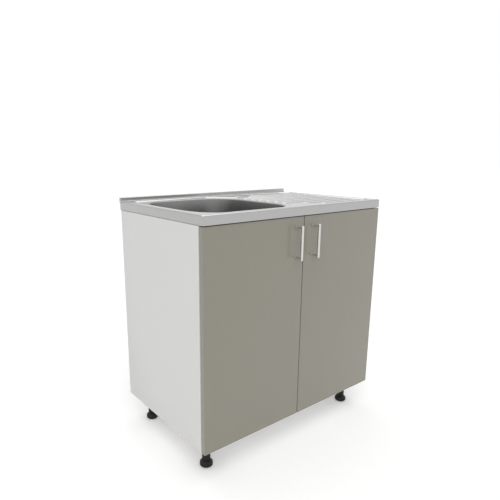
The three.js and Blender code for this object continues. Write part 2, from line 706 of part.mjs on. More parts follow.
// Drawn about the drain's axis, with the drain seat's face at z = 0.
function makeWaste() {
  const x = bowlX;
  const y = bowlY - sinkOverhang;
  const z = rimHeight + drainLevel;
  const sleeveInner = wasteSleeveRadius - wasteWall;
  const under = -sheet - seat;
  const neck = -wasteBowlDepth;
  const tail = neck - wasteTailLength;
  const tailInner = wasteTailRadius - wasteWall;
  const ledge = -8;
  const flangeTop = seat + wasteFlangeThickness;
  const collarInner = sleeveInner - basketLedge;
  const flange = revolve([[sleeveInner, flangeTop - 1], [sleeveInner + 1.5, flangeTop],
    [wasteFlangeRadius - 3, flangeTop], [wasteFlangeRadius, seat + 0.8],
    [wasteFlangeRadius, seat], [wasteSleeveRadius, seat],
    [wasteSleeveRadius, neck + 12], [wasteTailRadius, neck],
    [wasteTailRadius, tail], [tailInner, tail], [tailInner, neck + wasteWall], [collarInner, neck + 13],
    [collarInner, ledge], [sleeveInner, ledge]], wideRound);
  place('waste_flange', flange, stainless, x, y, z);

  // basket: slotted dish with a domed hub and a lifting knob
  const plate = ledge + seat;
  const rim = sleeveInner - seat;
  const top = plate + basketThickness;
  const rimTop = flangeTop - 1.5;
  const knobTop = top + basketKnobHeight;
  let basket = asSolid(revolve([[0, plate], [rim, plate], [rim, rimTop],
    [rim - 1.2, rimTop], [rim - 1.2, top], [basketHub + 3, top],
    [basketHub, top + 2.5], [basketKnobRadius + 1, top + 3.5], [basketKnobRadius - 2, top + 5],
    [basketKnobRadius - 2, knobTop - 5], [basketKnobRadius, knobTop - 3],
    [basketKnobRadius - 1, knobTop], [0, knobTop + 0.5]], wideRound));
  const slotShape = basketSlot();
  for (let i = 0; i < basketSlots; i += 1) {
    const slot = prism(slotShape, plate - 1, top + 1, 1).rotateZ((i / basketSlots) * 2 * Math.PI);
    basket = cut(basket, asSolid(slot));
  }
  place('strainer_basket', basket, stainless, x, y, z);

  // under the bowl: gasket, back nut, trap
  const ring = (inner, outer, z0, z1, steps = round) => revolve([[inner, z0], [outer, z0],
    [outer, z1], [inner, z1]], steps);
  const gasketTop = under;
  const gasketFoot = gasketTop - gasketThickness;
  const clear = boreFor(wasteSleeveRadius, wideRound);
  const gasket = ring(clear, clear + gasketWidth, gasketFoot, gasketTop, wideRound);
  place('waste_gasket', gasket, greyRubber, x, y, z);
  const nutTop = gasketFoot - seat;
  const nutFoot = nutTop - backNutHeight;
  const nutOuter = clear + gasketWidth - 1;
  let backNut = asSolid(ring(clear, nutOuter, nutFoot, nutTop, wideRound));
  for (let i = 0; i < backNutLugs; i += 1) {
    const lug = box(nutOuter - 2, nutOuter + backNutLug, -backNutLug, backNutLug, nutFoot, nutTop - 3);
    backNut = join(backNut, asSolid(lug.rotateZ((i / backNutLugs) * 2 * Math.PI)));
  }
  place('waste_back_nut', backNut, whitePlastic, x, y, z);

  const trapTop = tail + 8; // the tail enters the trap's neck
  const neckInner = boreFor(wasteTailRadius);
  const neckOuter = neckInner + trapWall;
  const shoulder = trapTop - trapShoulder;
  const bodyFoot = trapTop - trapHeight;
  const outletLevel = shoulder - 10 - trapOutletRadius;
  const bodyInner = trapRadius - trapWall;
  let body = asSolid(revolve([[neckInner, trapTop], [neckOuter, trapTop], [neckOuter, shoulder + 4],
    [trapRadius, shoulder - 4], [trapRadius, bodyFoot], [bodyInner, bodyFoot],
    [bodyInner, shoulder - 5], [neckInner, shoulder + 2]]));
  const outlet = (radius, from, to) => asSolid(
    alongY(cylinder(radius, -to, -from)).translate(0, 0, outletLevel));
  body = join(body, outlet(trapOutletRadius, trapRadius - 8, trapOutletReach));
  body = cut(body, outlet(trapOutletRadius - trapWall, trapRadius - 14, trapOutletReach + 1));
  place('trap_body', body, whitePlastic, x, y, z);

  // a cup whose collar goes up round the body, with grip ribs
  const cupTop = bodyFoot + trapCollar;
  const collar = boreFor(trapRadius);
  const cupFoot = cupTop - trapCupHeight;
  const collarOuter = collar + trapWall;
  let trapCup = asSolid(revolve([[0, cupFoot], [trapRadius - 8, cupFoot], [trapRadius - 2, cupFoot + 6],
    [collar + 1, bodyFoot - 6], [collarOuter, bodyFoot - 3], [collarOuter, cupTop], [collar, cupTop],
    [collar, bodyFoot - seat], [bodyInner, bodyFoot - seat], [bodyInner - 3, bodyFoot - 8],
    [trapRadius - 6, cupFoot + 8], [trapRadius - 11, cupFoot + trapWall], [0, cupFoot + trapWall]]));
  for (let i = 0; i < trapCupGrips; i += 1) {
    const grip = box(collar + 1, collarOuter + gripRib, -gripRib, gripRib, bodyFoot - 2, cupTop - 2);
    trapCup = join(trapCup, asSolid(grip.rotateZ((i / trapCupGrips) * 2 * Math.PI)));
  }
  place('trap_cup', trapCup, whitePlastic, x, y, z);

  const nut = (inner) => {
    const outer = inner + trapNutWall;
    let shape = asSolid(ring(inner, outer, 0, trapNutHeight));
    for (let i = 0; i < trapNutGrips; i += 1) {
      const grip = box(outer - 1, outer + gripRib, -gripRib, gripRib, 2, trapNutHeight - 2);
      shape = join(shape, asSolid(grip.rotateZ((i / trapNutGrips) * 2 * Math.PI)));
    }
    return shape;
  };
  place('trap_inlet_nut', nut(boreFor(neckOuter)), whitePlastic, x, y, z + trapTop - trapNutHeight + 6);
  const outletNut = place('trap_outlet_nut', nut(boreFor(trapOutletRadius)), whitePlastic, x,
    y + trapOutletReach - trapNutHeight - 2, z + outletLevel);
  outletNut.rotation.x = -Math.PI / 2;
}

makeCarcass();
makeDoorSet('left', -1);
makeDoorSet('right', 1);
makeLegs();
makeSink();
makeWaste();

const group = new THREE.Group();
unit.position.y = -(unitFront + unitRear) / 2;
group.add(unit);

export default group;
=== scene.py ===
import math

import bmesh
import bpy
from mathutils import Matrix, Vector
from mathutils.geometry import delaunay_2d_cdt


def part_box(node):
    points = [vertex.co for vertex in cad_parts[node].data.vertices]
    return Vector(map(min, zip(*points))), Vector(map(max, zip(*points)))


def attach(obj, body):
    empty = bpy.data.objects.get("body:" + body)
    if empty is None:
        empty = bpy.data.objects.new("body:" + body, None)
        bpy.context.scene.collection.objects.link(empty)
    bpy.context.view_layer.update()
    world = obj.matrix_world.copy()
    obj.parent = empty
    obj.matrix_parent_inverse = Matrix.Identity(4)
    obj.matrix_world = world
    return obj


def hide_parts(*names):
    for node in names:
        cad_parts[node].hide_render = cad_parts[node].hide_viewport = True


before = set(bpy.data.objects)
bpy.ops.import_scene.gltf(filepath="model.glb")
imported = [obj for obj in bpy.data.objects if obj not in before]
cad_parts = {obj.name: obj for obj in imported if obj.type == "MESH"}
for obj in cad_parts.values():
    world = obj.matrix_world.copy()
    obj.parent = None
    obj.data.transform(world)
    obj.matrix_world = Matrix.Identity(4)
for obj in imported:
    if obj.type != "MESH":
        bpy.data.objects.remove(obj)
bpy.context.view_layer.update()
mm = 0.001  # shapes are drawn in millimetres


def corners(node):
    low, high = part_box(node)
    return low / mm, high / mm


def middle(node):
    low, high = corners(node)
    return (low + high) / 2


# materials

def newMaterial(name):
    material = bpy.data.materials.new(name)
    material.use_nodes = True
    return material, material.node_tree, material.node_tree.nodes["Principled BSDF"]


def filled(node, values):
    for socket, value in (values or {}).items():
        node.inputs[socket].default_value = value
    return node


def added(tree, kind, values=None, operation=None):
    node = tree.nodes.new(kind)
    if operation:
        node.operation = operation
    return filled(node, values)


def wire(tree, *pairs):
    for start, end in pairs:
        tree.links.new(start, end)


def objectSpace(tree, stretch=(1, 1, 1)):
    coordinates = added(tree, "ShaderNodeTexCoord")
    mapping = added(tree, "ShaderNodeMapping", {"Scale": stretch})
    wire(tree, (coordinates.outputs["Object"], mapping.inputs["Vector"]))
    return mapping.outputs["Vector"]


def noise(tree, vector, scale):
    texture = added(tree, "ShaderNodeTexNoise", {"Scale": scale, "Detail": 3})
    wire(tree, (vector, texture.inputs["Vector"]))
    return texture.outputs["Fac"]


def tint(tree, shader, factor, first, second, low=0.3, high=0.7):
    colours = added(tree, "ShaderNodeValToRGB")
    for element, position, colour in zip(colours.color_ramp.elements, (low, high), (first, second)):
        element.position = position
        element.color = (*colour, 1)
    wire(tree, (factor, colours.inputs["Fac"]), (colours.outputs["Color"], shader.inputs["Base Color"]))


def roughen(tree, shader, factor, low, high):
    spread = added(tree, "ShaderNodeMapRange", {"To Min": low, "To Max": high})
    wire(tree, (factor, spread.inputs["Value"]), (spread.outputs["Result"], shader.inputs["Roughness"]))


def relief(tree, shader, height, strength, distance):
    bump = added(tree, "ShaderNodeBump", {"Strength": strength, "Distance": distance})
    wire(tree, (height, bump.inputs["Height"]), (bump.outputs["Normal"], shader.inputs["Normal"]))


def plainMaterial(name, look):
    material, tree, shader = newMaterial(name)
    grain = noise(tree, objectSpace(tree, look.get("stretch", (1, 1, 1))), look["grainScale"])
    tint(tree, shader, grain, [value * look["shade"] for value in look["colour"]], look["colour"])
    roughen(tree, shader, grain, *look["roughness"])
    filled(shader, {"Metallic": look.get("metallic", 0), "Specular IOR Level": look.get("specular", 0.5),
                    "Coat Weight": look.get("coat", 0), "Coat Roughness": 0.03})
    if "bump" in look:
        relief(tree, shader, grain, *look["bump"])
    return material


looks = {
    "whiteMelamine": {"colour": (0.69, 0.69, 0.678), "shade": 0.985, "roughness": (0.38, 0.46),
                      "grainScale": 900, "bump": (0.05, 0.0002)},
    "greyGloss": {"colour": (0.268, 0.255, 0.208), "shade": 0.985, "roughness": (0.22, 0.26),
                  "grainScale": 60, "coat": 0.35, "specular": 0.35, "bump": (0.02, 0.0006)},
    "pressedSteel": {"colour": (0.43, 0.43, 0.427), "shade": 0.975, "roughness": (0.2, 0.27),
                     "grainScale": 420, "metallic": 1, "stretch": (0.05, 1, 1)},
    "wasteSteel": {"colour": (0.42, 0.42, 0.417), "shade": 0.96, "roughness": (0.12, 0.18),
                   "grainScale": 300, "metallic": 1},
    "satinHandle": {"colour": (0.66, 0.64, 0.62), "shade": 0.96, "roughness": (0.24, 0.32),
                    "grainScale": 700, "metallic": 1, "stretch": (1, 1, 0.04)},
    "zincPlate": {"colour": (0.63, 0.64, 0.65), "shade": 0.9, "roughness": (0.28, 0.42),
                  "grainScale": 160, "metallic": 1},
    "blackPlastic": {"colour": (0.012, 0.012, 0.013), "shade": 0.85, "specular": 0.3,
                     "roughness": (0.42, 0.52), "grainScale": 1200, "bump": (0.12, 0.0002)},
    "whitePlastic": {"colour": (0.8, 0.795, 0.77), "shade": 0.975, "roughness": (0.36, 0.42),
                     "grainScale": 90, "bump": (0.04, 0.0003)},
    "greyRubber": {"colour": (0.04, 0.04, 0.041), "shade": 0.85, "roughness": (0.75, 0.85),
                   "grainScale": 800, "bump": (0.15, 0.0002)},
}
materials = {name: plainMaterial(name, look) for name, look in looks.items()}

chipboard = {"pale": (0.7, 0.61, 0.45), "dark": (0.52, 0.42, 0.28), "flakeScale": 650,
             "flakeStretch": (0.5, 0.5, 1.4), "roughness": 0.85, "bump": (0.4, 0.0003)}


def chipboardMaterial(look):
    material, tree, shader = newMaterial("rawChipboard")
    flakes = added(tree, "ShaderNodeTexVoronoi", {"Scale": look["flakeScale"]})
    wire(tree, (objectSpace(tree, look["flakeStretch"]), flakes.inputs["Vector"]))
    tint(tree, shader, flakes.outputs["Color"], look["dark"], look["pale"], 0.1, 0.75)
    filled(shader, {"Roughness": look["roughness"]})
    relief(tree, shader, flakes.outputs["Distance"], *look["bump"])
    return material


materials["rawChipboard"] = chipboardMaterial(chipboard)

# the wall colour is painted shade and painted reflection, darker than the floor's steel
bowlPaintedShade = {"wall": (0.29, 0.29, 0.288), "floor": (0.46, 0.46, 0.456), "grainScale": 500,
              "roughness": (0.24, 0.32), "wallFoot": -130, "floorLevel": -159.5}  # levels from the rim


def bowlMaterial(look, rimLevel):
    # the wall is painted darker than the floor: painted shade standing in for the dark reflections on the
    # walls
    material, tree, shader = newMaterial("bowlSteel")
    vector = objectSpace(tree)
    apart = added(tree, "ShaderNodeSeparateXYZ")
    depth = added(tree, "ShaderNodeMapRange", {"From Min": (rimLevel + look["wallFoot"]) * mm,
                                               "From Max": (rimLevel + look["floorLevel"]) * mm})
    depth.interpolation_type = "SMOOTHSTEP"
    wire(tree, (vector, apart.inputs["Vector"]), (apart.outputs["Z"], depth.inputs["Value"]))
    tint(tree, shader, depth.outputs["Result"], look["wall"], look["floor"], 0, 1)
    roughen(tree, shader, noise(tree, vector, look["grainScale"]), *look["roughness"])
    filled(shader, {"Metallic": 1})
    return material


upstandHeight = 14
rimLevel = corners("sink_top")[1].z - upstandHeight
materials["bowlSteel"] = bowlMaterial(bowlPaintedShade, rimLevel)
print("materials made")


# drawing tools

noTurn = Matrix.Identity(3)


class Form:
    def __init__(self):
        self.points = []
        self.faces = []
        self.looks = []

    def add(self, points, faces, turn=noTurn, at=(0, 0, 0), look=0):
        start = len(self.points)
        self.points += [turn @ Vector(point) + Vector(at) for point in points]
        self.faces += [[start + i for i in face] for face in faces]
        self.looks += [look] * len(faces)
        return self

    def loft(self, rings, look=0, capped=False):
        count = len(rings[0])
        points = [point for ring in rings for point in ring]
        faces = []
        for i in range(0, len(points) - count, count):
            for j in range(count):
                k = (j + 1) % count
                faces.append([i + j, i + k, i + count + k, i + count + j])
        if capped:
            faces += [list(range(count))[::-1], list(range(len(points) - count, len(points)))]
        return self.add(points, faces, look=look)

    def revolve(self, profile, steps, turn=noTurn, at=(0, 0, 0)):
        points, rows, faces = [], [], []
        for radius, height in profile:
            onAxis = radius < 1e-6
            rows.append([len(points)] * steps if onAxis else range(len(points), len(points) + steps))
            points += [(0, 0, height)] if onAxis else circle(radius, height, steps)
        if profile[0] == profile[-1]:  # a closed profile ends in its own first ring
            points = points[:-steps]
            rows[-1] = rows[0]
        for lower, upper in zip(rows, rows[1:]):
            for j in range(steps):
                k = (j + 1) % steps
                face = list(dict.fromkeys((lower[j], lower[k], upper[k], upper[j])))
                if len(face) > 2:
                    faces.append(face)
        return self.add(points, faces, turn, at)

    def block(self, low, high, edge, segments=2):
        mesh = bmesh.new()
        bmesh.ops.create_cube(mesh, size=1)
        for vertex in mesh.verts:
            vertex.co = Vector([a + (b - a) * (c + 0.5) for a, b, c in zip(low, high, vertex.co)])
        bmesh.ops.bevel(mesh, geom=mesh.edges[:], offset=edge, segments=segments, profile=0.5,
                        affect="EDGES", clamp_overlap=True)
        mesh.verts.index_update()
        points = [vertex.co.copy() for vertex in mesh.verts]
        faces = [[vertex.index for vertex in face.verts] for face in mesh.faces]
        mesh.free()
        return self.add(points, faces)

    def build(self, name, materialNames, sharpAngle=40, weld=0):
        mesh = bpy.data.meshes.new(name)
        mesh.from_pydata([point * mm for point in self.points], [], self.faces)
        for materialName in materialNames:
            mesh.materials.append(materials[materialName])
        for polygon, look in zip(mesh.polygons, self.looks):
            polygon.material_index = look
        finishMesh(mesh, sharpAngle, weld)
        return linked(name, mesh)


def linked(name, data):
    piece = bpy.data.objects.new(name, data)
    bpy.context.collection.objects.link(piece)
    return piece


def finishMesh(mesh, sharpAngle, weld=0, outward=True):
    work = bmesh.new()
    work.from_mesh(mesh)
    if weld:
        bmesh.ops.remove_doubles(work, verts=work.verts[:], dist=weld * mm)
    if outward:
        bmesh.ops.recalc_face_normals(work, faces=work.faces[:])
    work.to_mesh(mesh)
    work.free()
    mesh.shade_smooth()
    mesh.set_sharp_from_angle(angle=math.radians(sharpAngle))
    mesh.update()


def baked(piece):
    bpy.context.view_layer.update()
    graph = bpy.context.evaluated_depsgraph_get()
    mesh = bpy.data.meshes.new_from_object(piece.evaluated_get(graph))
    piece.modifiers.clear()
    piece.data = mesh
    return piece


def modified(piece, kind, **settings):
    modifier = piece.modifiers.new("shaping", kind)
    for name, value in settings.items():
        setattr(modifier, name, value)
    return baked(piece)


def evenNormals(piece, sharpAngle):
    # large flats stay flat beside their rounded edges
    piece.data.shade_smooth()
    piece.data.set_sharp_from_angle(angle=math.radians(sharpAngle))
    return modified(piece, "WEIGHTED_NORMAL", keep_sharp=True, weight=80)


def bored(piece, cutter):
    tool = cutter.build("cutter", [], 30)
    modified(piece, "BOOLEAN", operation="DIFFERENCE", solver="EXACT", use_self=True, object=tool)
    bpy.data.objects.remove(tool)
    return piece


def hand(piece, body, slot, *nodes):
    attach(piece, body)
    if nodes:
        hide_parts(*nodes)
    return piece


def circle(radius, height, steps, at=(0, 0)):
    return [(at[0] + radius * math.cos(2 * math.pi * j / steps),
             at[1] + radius * math.sin(2 * math.pi * j / steps), height) for j in range(steps)]


def roundedRing(x0, y0, x1, y1, radius, height, cornerSteps=8):
    centres = [(x1 - radius, y0 + radius), (x1 - radius, y1 - radius),
               (x0 + radius, y1 - radius), (x0 + radius, y0 + radius)]
    ring = []
    for quarter, (cx, cy) in enumerate(centres):
        for i in range(cornerSteps + 1):
            angle = (quarter - 1 + i / cornerSteps) * math.pi / 2
            ring.append((cx + radius * math.cos(angle), cy + radius * math.sin(angle), height))
    return ring


def arc(cx, cz, radiusX, radiusZ, start, end, steps):
    angles = [math.radians(start + (end - start) * i / steps) for i in range(steps + 1)]
    return [(cx + radiusX * math.cos(angle), cz + radiusZ * math.sin(angle)) for angle in angles]


def flat(line):
    return [(x, y) for x, y, _ in line]


def insidePolygon(point, ring):
    x, y = point
    inside = False
    for (x0, y0), (x1, y1) in zip(ring, ring[-1:] + ring[:-1]):
        if (y0 > y) != (y1 > y) and x < (x1 - x0) * (y - y0) / (y1 - y0) + x0:
            inside = not inside
    return inside


def meshed(lines, precision):
    # triangles, each with its middle, of a flat sheet in which all the lines are edges
    points, edges = [], []
    for line, closed in lines:
        start, count = len(points), len(line)
        points += [Vector(point) for point in flat(line)]
        edges += [(start + i, start + (i + 1) % count) for i in range(count if closed else count - 1)]
    found, _, triangles, *_ = delaunay_2d_cdt(points, edges, [], 0, precision)
    middles = [sum((found[i] for i in triangle), Vector((0, 0))) / 3 for triangle in triangles]
    return found, list(zip(triangles, middles))


def smooth(t):
    t = min(max(t, 0), 1)
    return t * t * (3 - 2 * t)


def ramped(t, ease=0.2):
    # a straight slope with a rounded foot and crest, as a press leaves it
    t = min(max(t, 0), 1)
    if t > 0.5:
        return 1 - ramped(1 - t, ease)
    return (t * t / (2 * ease) if t < ease else t - ease / 2) / (1 - ease)


# Geometry Nodes: one piece repeated round an axis, or set on points

def nodeTree(name, sizes):
    tree = bpy.data.node_groups.new(name, "GeometryNodeTree")
    for label, kind in sizes:
        tree.interface.new_socket(name=label, in_out="INPUT", socket_type="NodeSocket" + kind)
    tree.interface.new_socket(name="Geometry", in_out="OUTPUT", socket_type="NodeSocketGeometry")
    return tree, tree.nodes.new("NodeGroupInput").outputs, tree.nodes.new("NodeGroupOutput").inputs


def copiesOnPoints(tree, given):
    # the piece on every point, made real and given its material
    piece, copies, real, finish = (
        added(tree, "GeometryNode" + kind)
        for kind in ("ObjectInfo", "InstanceOnPoints", "RealizeInstances", "SetMaterial"))
    piece.transform_space = "ORIGINAL"
    wire(tree, (given["Piece"], piece.inputs["Object"]),
         (piece.outputs["Geometry"], copies.inputs["Instance"]),
         (copies.outputs[0], real.inputs[0]), (given["Material"], finish.inputs["Material"]))
    return copies, real, finish


def roundArrayTree():
    sizes = ("Piece", "Object"), ("Count", "Int"), ("Weld", "Float"), ("Material", "Material")
    tree, given, result = nodeTree("roundArray", sizes)
    copies, real, finish = copiesOnPoints(tree, given)
    points, index, merge = (added(tree, "GeometryNode" + kind)
                            for kind in ("Points", "InputIndex", "MergeByDistance"))
    turn = added(tree, "ShaderNodeCombineXYZ")
    share = added(tree, "ShaderNodeMath", operation="DIVIDE")
    angle = added(tree, "ShaderNodeMath", {1: 2 * math.pi}, "MULTIPLY")
    wire(tree, (given["Count"], points.inputs["Count"]), (points.outputs[0], copies.inputs["Points"]),
         (index.outputs[0], share.inputs[0]), (given["Count"], share.inputs[1]),
         (share.outputs[0], angle.inputs[0]), (angle.outputs[0], turn.inputs["Z"]),
         (turn.outputs[0], copies.inputs["Rotation"]), (real.outputs[0], merge.inputs["Geometry"]),
         (given["Weld"], merge.inputs["Distance"]), (merge.outputs[0], finish.inputs["Geometry"]),
         (finish.outputs[0], result["Geometry"]))
    return tree


def onPointsTree():
    sizes = (("Geometry", "Geometry"), ("Piece", "Object"), ("Turn", "Vector"), ("Size", "Float"),
             ("Material", "Material"))
    tree, given, result = nodeTree("onPoints", sizes)
    copies, real, finish = copiesOnPoints(tree, given)
    wire(tree, (given["Geometry"], copies.inputs["Points"]), (given["Turn"], copies.inputs["Rotation"]),
         (given["Size"], copies.inputs["Scale"]), (real.outputs[0], finish.inputs["Geometry"]),
         (finish.outputs[0], result["Geometry"]))
    return tree


roundArray = roundArrayTree()
onPoints = onPointsTree()


def runTree(host, tree, values):
    modifier = host.modifiers.new("nodes", "NODES")
    modifier.node_group = tree
    for item in tree.interface.items_tree:
        if item.in_out == "INPUT" and item.name in values:
            modifier[item.identifier] = values[item.name]
    return baked(host)


def repeatRound(name, source, count, at, turn=noTurn, weld=0.0):
    host = linked(name, bpy.data.meshes.new(name))
    runTree(host, roundArray, {"Piece": source, "Count": count, "Weld": weld * mm,
                               "Material": source.data.materials[0]})
    host.data.transform(Matrix.Translation(Vector(at) * mm) @ turn.to_4x4())
    bpy.data.objects.remove(source)
    return host


def around(form, count, material, at, sharpAngle=40, turn=noTurn):
    return repeatRound("ribs", form.build("rib", [material], sharpAngle), count, at, turn)


def setOnPoints(name, source, spots, turn):
    mesh = bpy.data.meshes.new(name)
    mesh.from_pydata([Vector(spot) * mm for spot in spots], [], [])
    host = linked(name, mesh)
    runTree(host, onPoints, {"Piece": source, "Turn": [math.radians(angle) for angle in turn], "Size": 1.0,
                             "Material": source.data.materials[0]})
    bpy.data.objects.remove(source)
    return host


def joined(name, pieces):
    work = bmesh.new()
    names = list(dict.fromkeys(material.name for piece in pieces for material in piece.data.materials))
    for piece in pieces:
        start = len(work.faces)
        work.from_mesh(piece.data)
        work.faces.ensure_lookup_table()
        order = [names.index(material.name) for material in piece.data.materials]
        for face in work.faces[start:]:
            face.material_index = order[face.material_index]
        bpy.data.objects.remove(piece)
    mesh = bpy.data.meshes.new(name)
    work.to_mesh(mesh)
    work.free()
    for materialName in names:
        mesh.materials.append(bpy.data.materials[materialName])
    return linked(name, mesh)


# pressed sink top
# Drawn from the middle of its front edge: x across, y towards the wall, z = 0 on the rim.

sinkShape = {
    "halfWidth": 400, "depth": 500, "upstand": 9, "upstandHeight": upstandHeight, "apron": 30, "flange": 15,
    "sheet": 0.8, "roll": 5, "cornerRadius": 9,
    "borderInset": 21.5, "borderStep": 5, "borderDrop": 4, "borderRadius": 36,
    "bowlX": -170.75, "bowlY": 251, "bowlHalfX": 182.25, "bowlHalfY": 207.5, "bowlDepth": 160,
    "lip": 4, "draftX": 6, "draftY": 12, "filletX": 20, "filletY": 29, "filletHeight": 26,
    "topSquareness": 4, "wallSquareness": 4.25, "floorSquareness": 4.5,
    "drainRadius": 61, "drainDrop": 5, "drainHole": 46,
    "tapX": 45, "tapFromRear": 61.6, "tapRadius": 17.5,
    "landingHalf": 105, "landingDepth": 76, "landingRise": 3, "landingSlope": 3.7,
    "ribs": 10, "ribPitch": 42.1, "ribWidth": 26.5, "ribRadius": 8, "ribSlope": 3, "ribRise": 2.3,
    "ribRight": 354, "ribLeft": (143, 95, 35),  # outer ribs, the next ones, all the others
    "bowlSteps": 144, "upstandRadius": 3, "upstandCove": 2.4,
}


def insideRounded(x, y, x0, y0, x1, y1, radius):
    # how far a point lies inside a rounded rectangle
    dx = abs(x - (x0 + x1) / 2) - (x1 - x0) / 2 + radius
    dy = abs(y - (y0 + y1) / 2) - (y1 - y0) / 2 + radius
    return radius - math.hypot(max(dx, 0), max(dy, 0)) - min(max(dx, dy), 0)


def ribBox(s, row):
    fromEdge = min(row, s["ribs"] - 1 - row, 2)
    y = s["depth"] / 2 + (row - (s["ribs"] - 1) / 2) * s["ribPitch"]
    return s["ribLeft"][fromEdge], y - s["ribWidth"] / 2, s["ribRight"], y + s["ribWidth"] / 2


def bellCurve(s, x):
    # height of the bell over the border's foot, and the length factor of its slope
    half = s["landingHalf"]
    t = (x - s["tapX"]) / half
    if abs(t) > 1:
        return 0, 1
    slope = -s["landingDepth"] * 0.5 * math.pi / half * math.sin(math.pi * t)
    return s["landingDepth"] * (0.5 + 0.5 * math.cos(math.pi * t)), math.hypot(1, slope)


def pressedHeight(s, x, y):
    half, depth, inset = s["halfWidth"], s["depth"], s["borderInset"]
    drop, foot = s["borderDrop"], inset + s["borderStep"]
    border = -half + inset, inset, half - inset, depth - inset
    inBorder = insideRounded(x, y, *border, s["borderRadius"])
    height = -drop * ramped(inBorder / s["borderStep"])
    bell, stretch = bellCurve(s, x)
    if bell > 0:
        for fromEdge in (y - foot, depth - y - foot):
            inBell = (bell - fromEdge) / stretch
            if inBell > 0:
                height = max(height, -drop + s["landingRise"] * ramped(inBell / s["landingSlope"]))
    for row in range(s["ribs"]):
        x0, y0, x1, y1 = ribBox(s, row)
        if x0 < x < x1 and y0 < y < y1:
            inRib = insideRounded(x, y, x0, y0, x1, y1, s["ribRadius"])
            height = max(height, -drop + s["ribRise"] * ramped(inRib / s["ribSlope"]))
    return height


def bowlAngles(s):
    return [2 * math.pi * (i + 0.5) / s["bowlSteps"] for i in range(s["bowlSteps"])]


def bowedRing(s, growX, growY, squareness, z):
    ring = []
    halfX, halfY = s["bowlHalfX"] + growX, s["bowlHalfY"] + growY
    for angle in bowlAngles(s):
        c, w = math.cos(angle), math.sin(angle)
        reach = (abs(c / halfX) ** squareness + abs(w / halfY) ** squareness) ** (-1 / squareness)
        ring.append((s["bowlX"] + reach * c, s["bowlY"] + reach * w, z))
    return ring


def outlineRing(s, inset, z):
    half, rear = s["halfWidth"] - inset, s["depth"] + s["upstand"] - inset
    return roundedRing(-half, inset, half, rear, max(s["cornerRadius"] - inset, 1), z)


def pressedLines(s):
    # the outlines in the top and the lines along every slope, each with whether it closes
    half, depth, inset, rib = s["halfWidth"], s["depth"], s["borderInset"], s["ribSlope"]
    foot = inset + s["borderStep"]
    levels = (0, 0.07, 0.13, 0.2, 0.8, 0.87, 0.93, 1)  # shares of a slope's width, close in its bends
    lines = [(outlineRing(s, s["roll"], 0), True), (lipRing(s), True), (tapRing(s, 1, 0), True)]
    for t in levels:
        d = inset + t * s["borderStep"]
        radius = s["borderRadius"] - t * s["borderStep"]
        lines.append((roundedRing(-half + d, d, half - d, depth - d, radius, 0, 20), True))
    for t in levels:
        near = []
        for i in range(61):
            x = s["tapX"] + s["landingHalf"] * (2 * i / 60 - 1)
            bell, stretch = bellCurve(s, x)
            near.append((x, bell - t * s["landingSlope"] * stretch + foot, 0))
        near = [point for point in near if point[1] > inset]
        lines += [(near, False), ([(x, depth - y, 0) for x, y, _ in near], False)]
    for row in range(s["ribs"]):
        x0, y0, x1, y1 = ribBox(s, row)
        for d in [t * rib for t in levels]:
            lines.append((roundedRing(x0 + d, y0 + d, x1 - d, y1 - d, s["ribRadius"] - d, 0), True))
    return lines


def lipRing(s):
    return bowedRing(s, s["lip"], s["lip"], s["topSquareness"], -s["borderDrop"])


def tapRing(s, grow, z):
    return circle(s["tapRadius"] + grow, z, 40, (s["tapX"], s["depth"] - s["tapFromRear"]))


def pressedSkin(s):
    found, triangles = meshed(pressedLines(s), 1e-4)
    lip, tap = flat(lipRing(s)), flat(tapRing(s, 1, 0))
    outline = flat(outlineRing(s, s["roll"], 0))
    faces = [triangle for triangle, spot in triangles if insidePolygon(spot, outline)
             and not insidePolygon(spot, lip) and not insidePolygon(spot, tap)]
    return [(x, y, pressedHeight(s, x, y)) for x, y in found], faces


def bowlRings(s):
    rings = []
    lip, lipTop, floor = s["lip"], -s["borderDrop"], -s["bowlDepth"]
    for out, z in arc(lip, lipTop - lip, lip, lip, 90, 180, 5):  # rolled lip
        rings.append(bowedRing(s, out, out, s["topSquareness"], z))
    for i in range(1, 9):  # drawn wall
        t = i / 8
        z = lipTop - lip + (floor + s["filletHeight"] - lipTop + lip) * t
        square = s["topSquareness"] + (s["wallSquareness"] - s["topSquareness"]) * t
        rings.append(bowedRing(s, -s["draftX"] * t, -s["draftY"] * t, square, z))
    for i, (across, rise) in enumerate(arc(1, 1, 1, 1, 180, 270, 10)[1:], 1):  # fillet to the floor
        square = s["wallSquareness"] + (s["floorSquareness"] - s["wallSquareness"]) * i / 10
        rings.append(bowedRing(s, -s["draftX"] - s["filletX"] * across,
                               -s["draftY"] - s["filletY"] * across, square,
                               floor + s["filletHeight"] * rise))
    edge, cx, cy = rings[-1], s["bowlX"], s["bowlY"]
    seat = [(math.cos(angle), math.sin(angle)) for angle in bowlAngles(s)]
    drain, fall = s["drainRadius"], floor - s["drainDrop"]
    for t in (0.4, 0.75):  # shares of the way from the floor's edge to the drain's seat
        rings.append([(cx + (x - cx) * (1 - t) + drain * c * t,
                       cy + (y - cy) * (1 - t) + drain * w * t, floor)
                      for (x, y, _), (c, w) in zip(edge, seat)])
    seatLine = [(drain + 2, floor), (drain + 1, floor - 0.4), (drain + 0.4, floor - 1.1),
                (drain - 0.4, fall + 1), (drain - 1, fall + 0.3), (drain - 2, fall), (s["drainHole"], fall)]
    for radius, z in seatLine:
        rings.append([(cx + radius * c, cy + radius * w, z) for c, w in seat])
    return rings


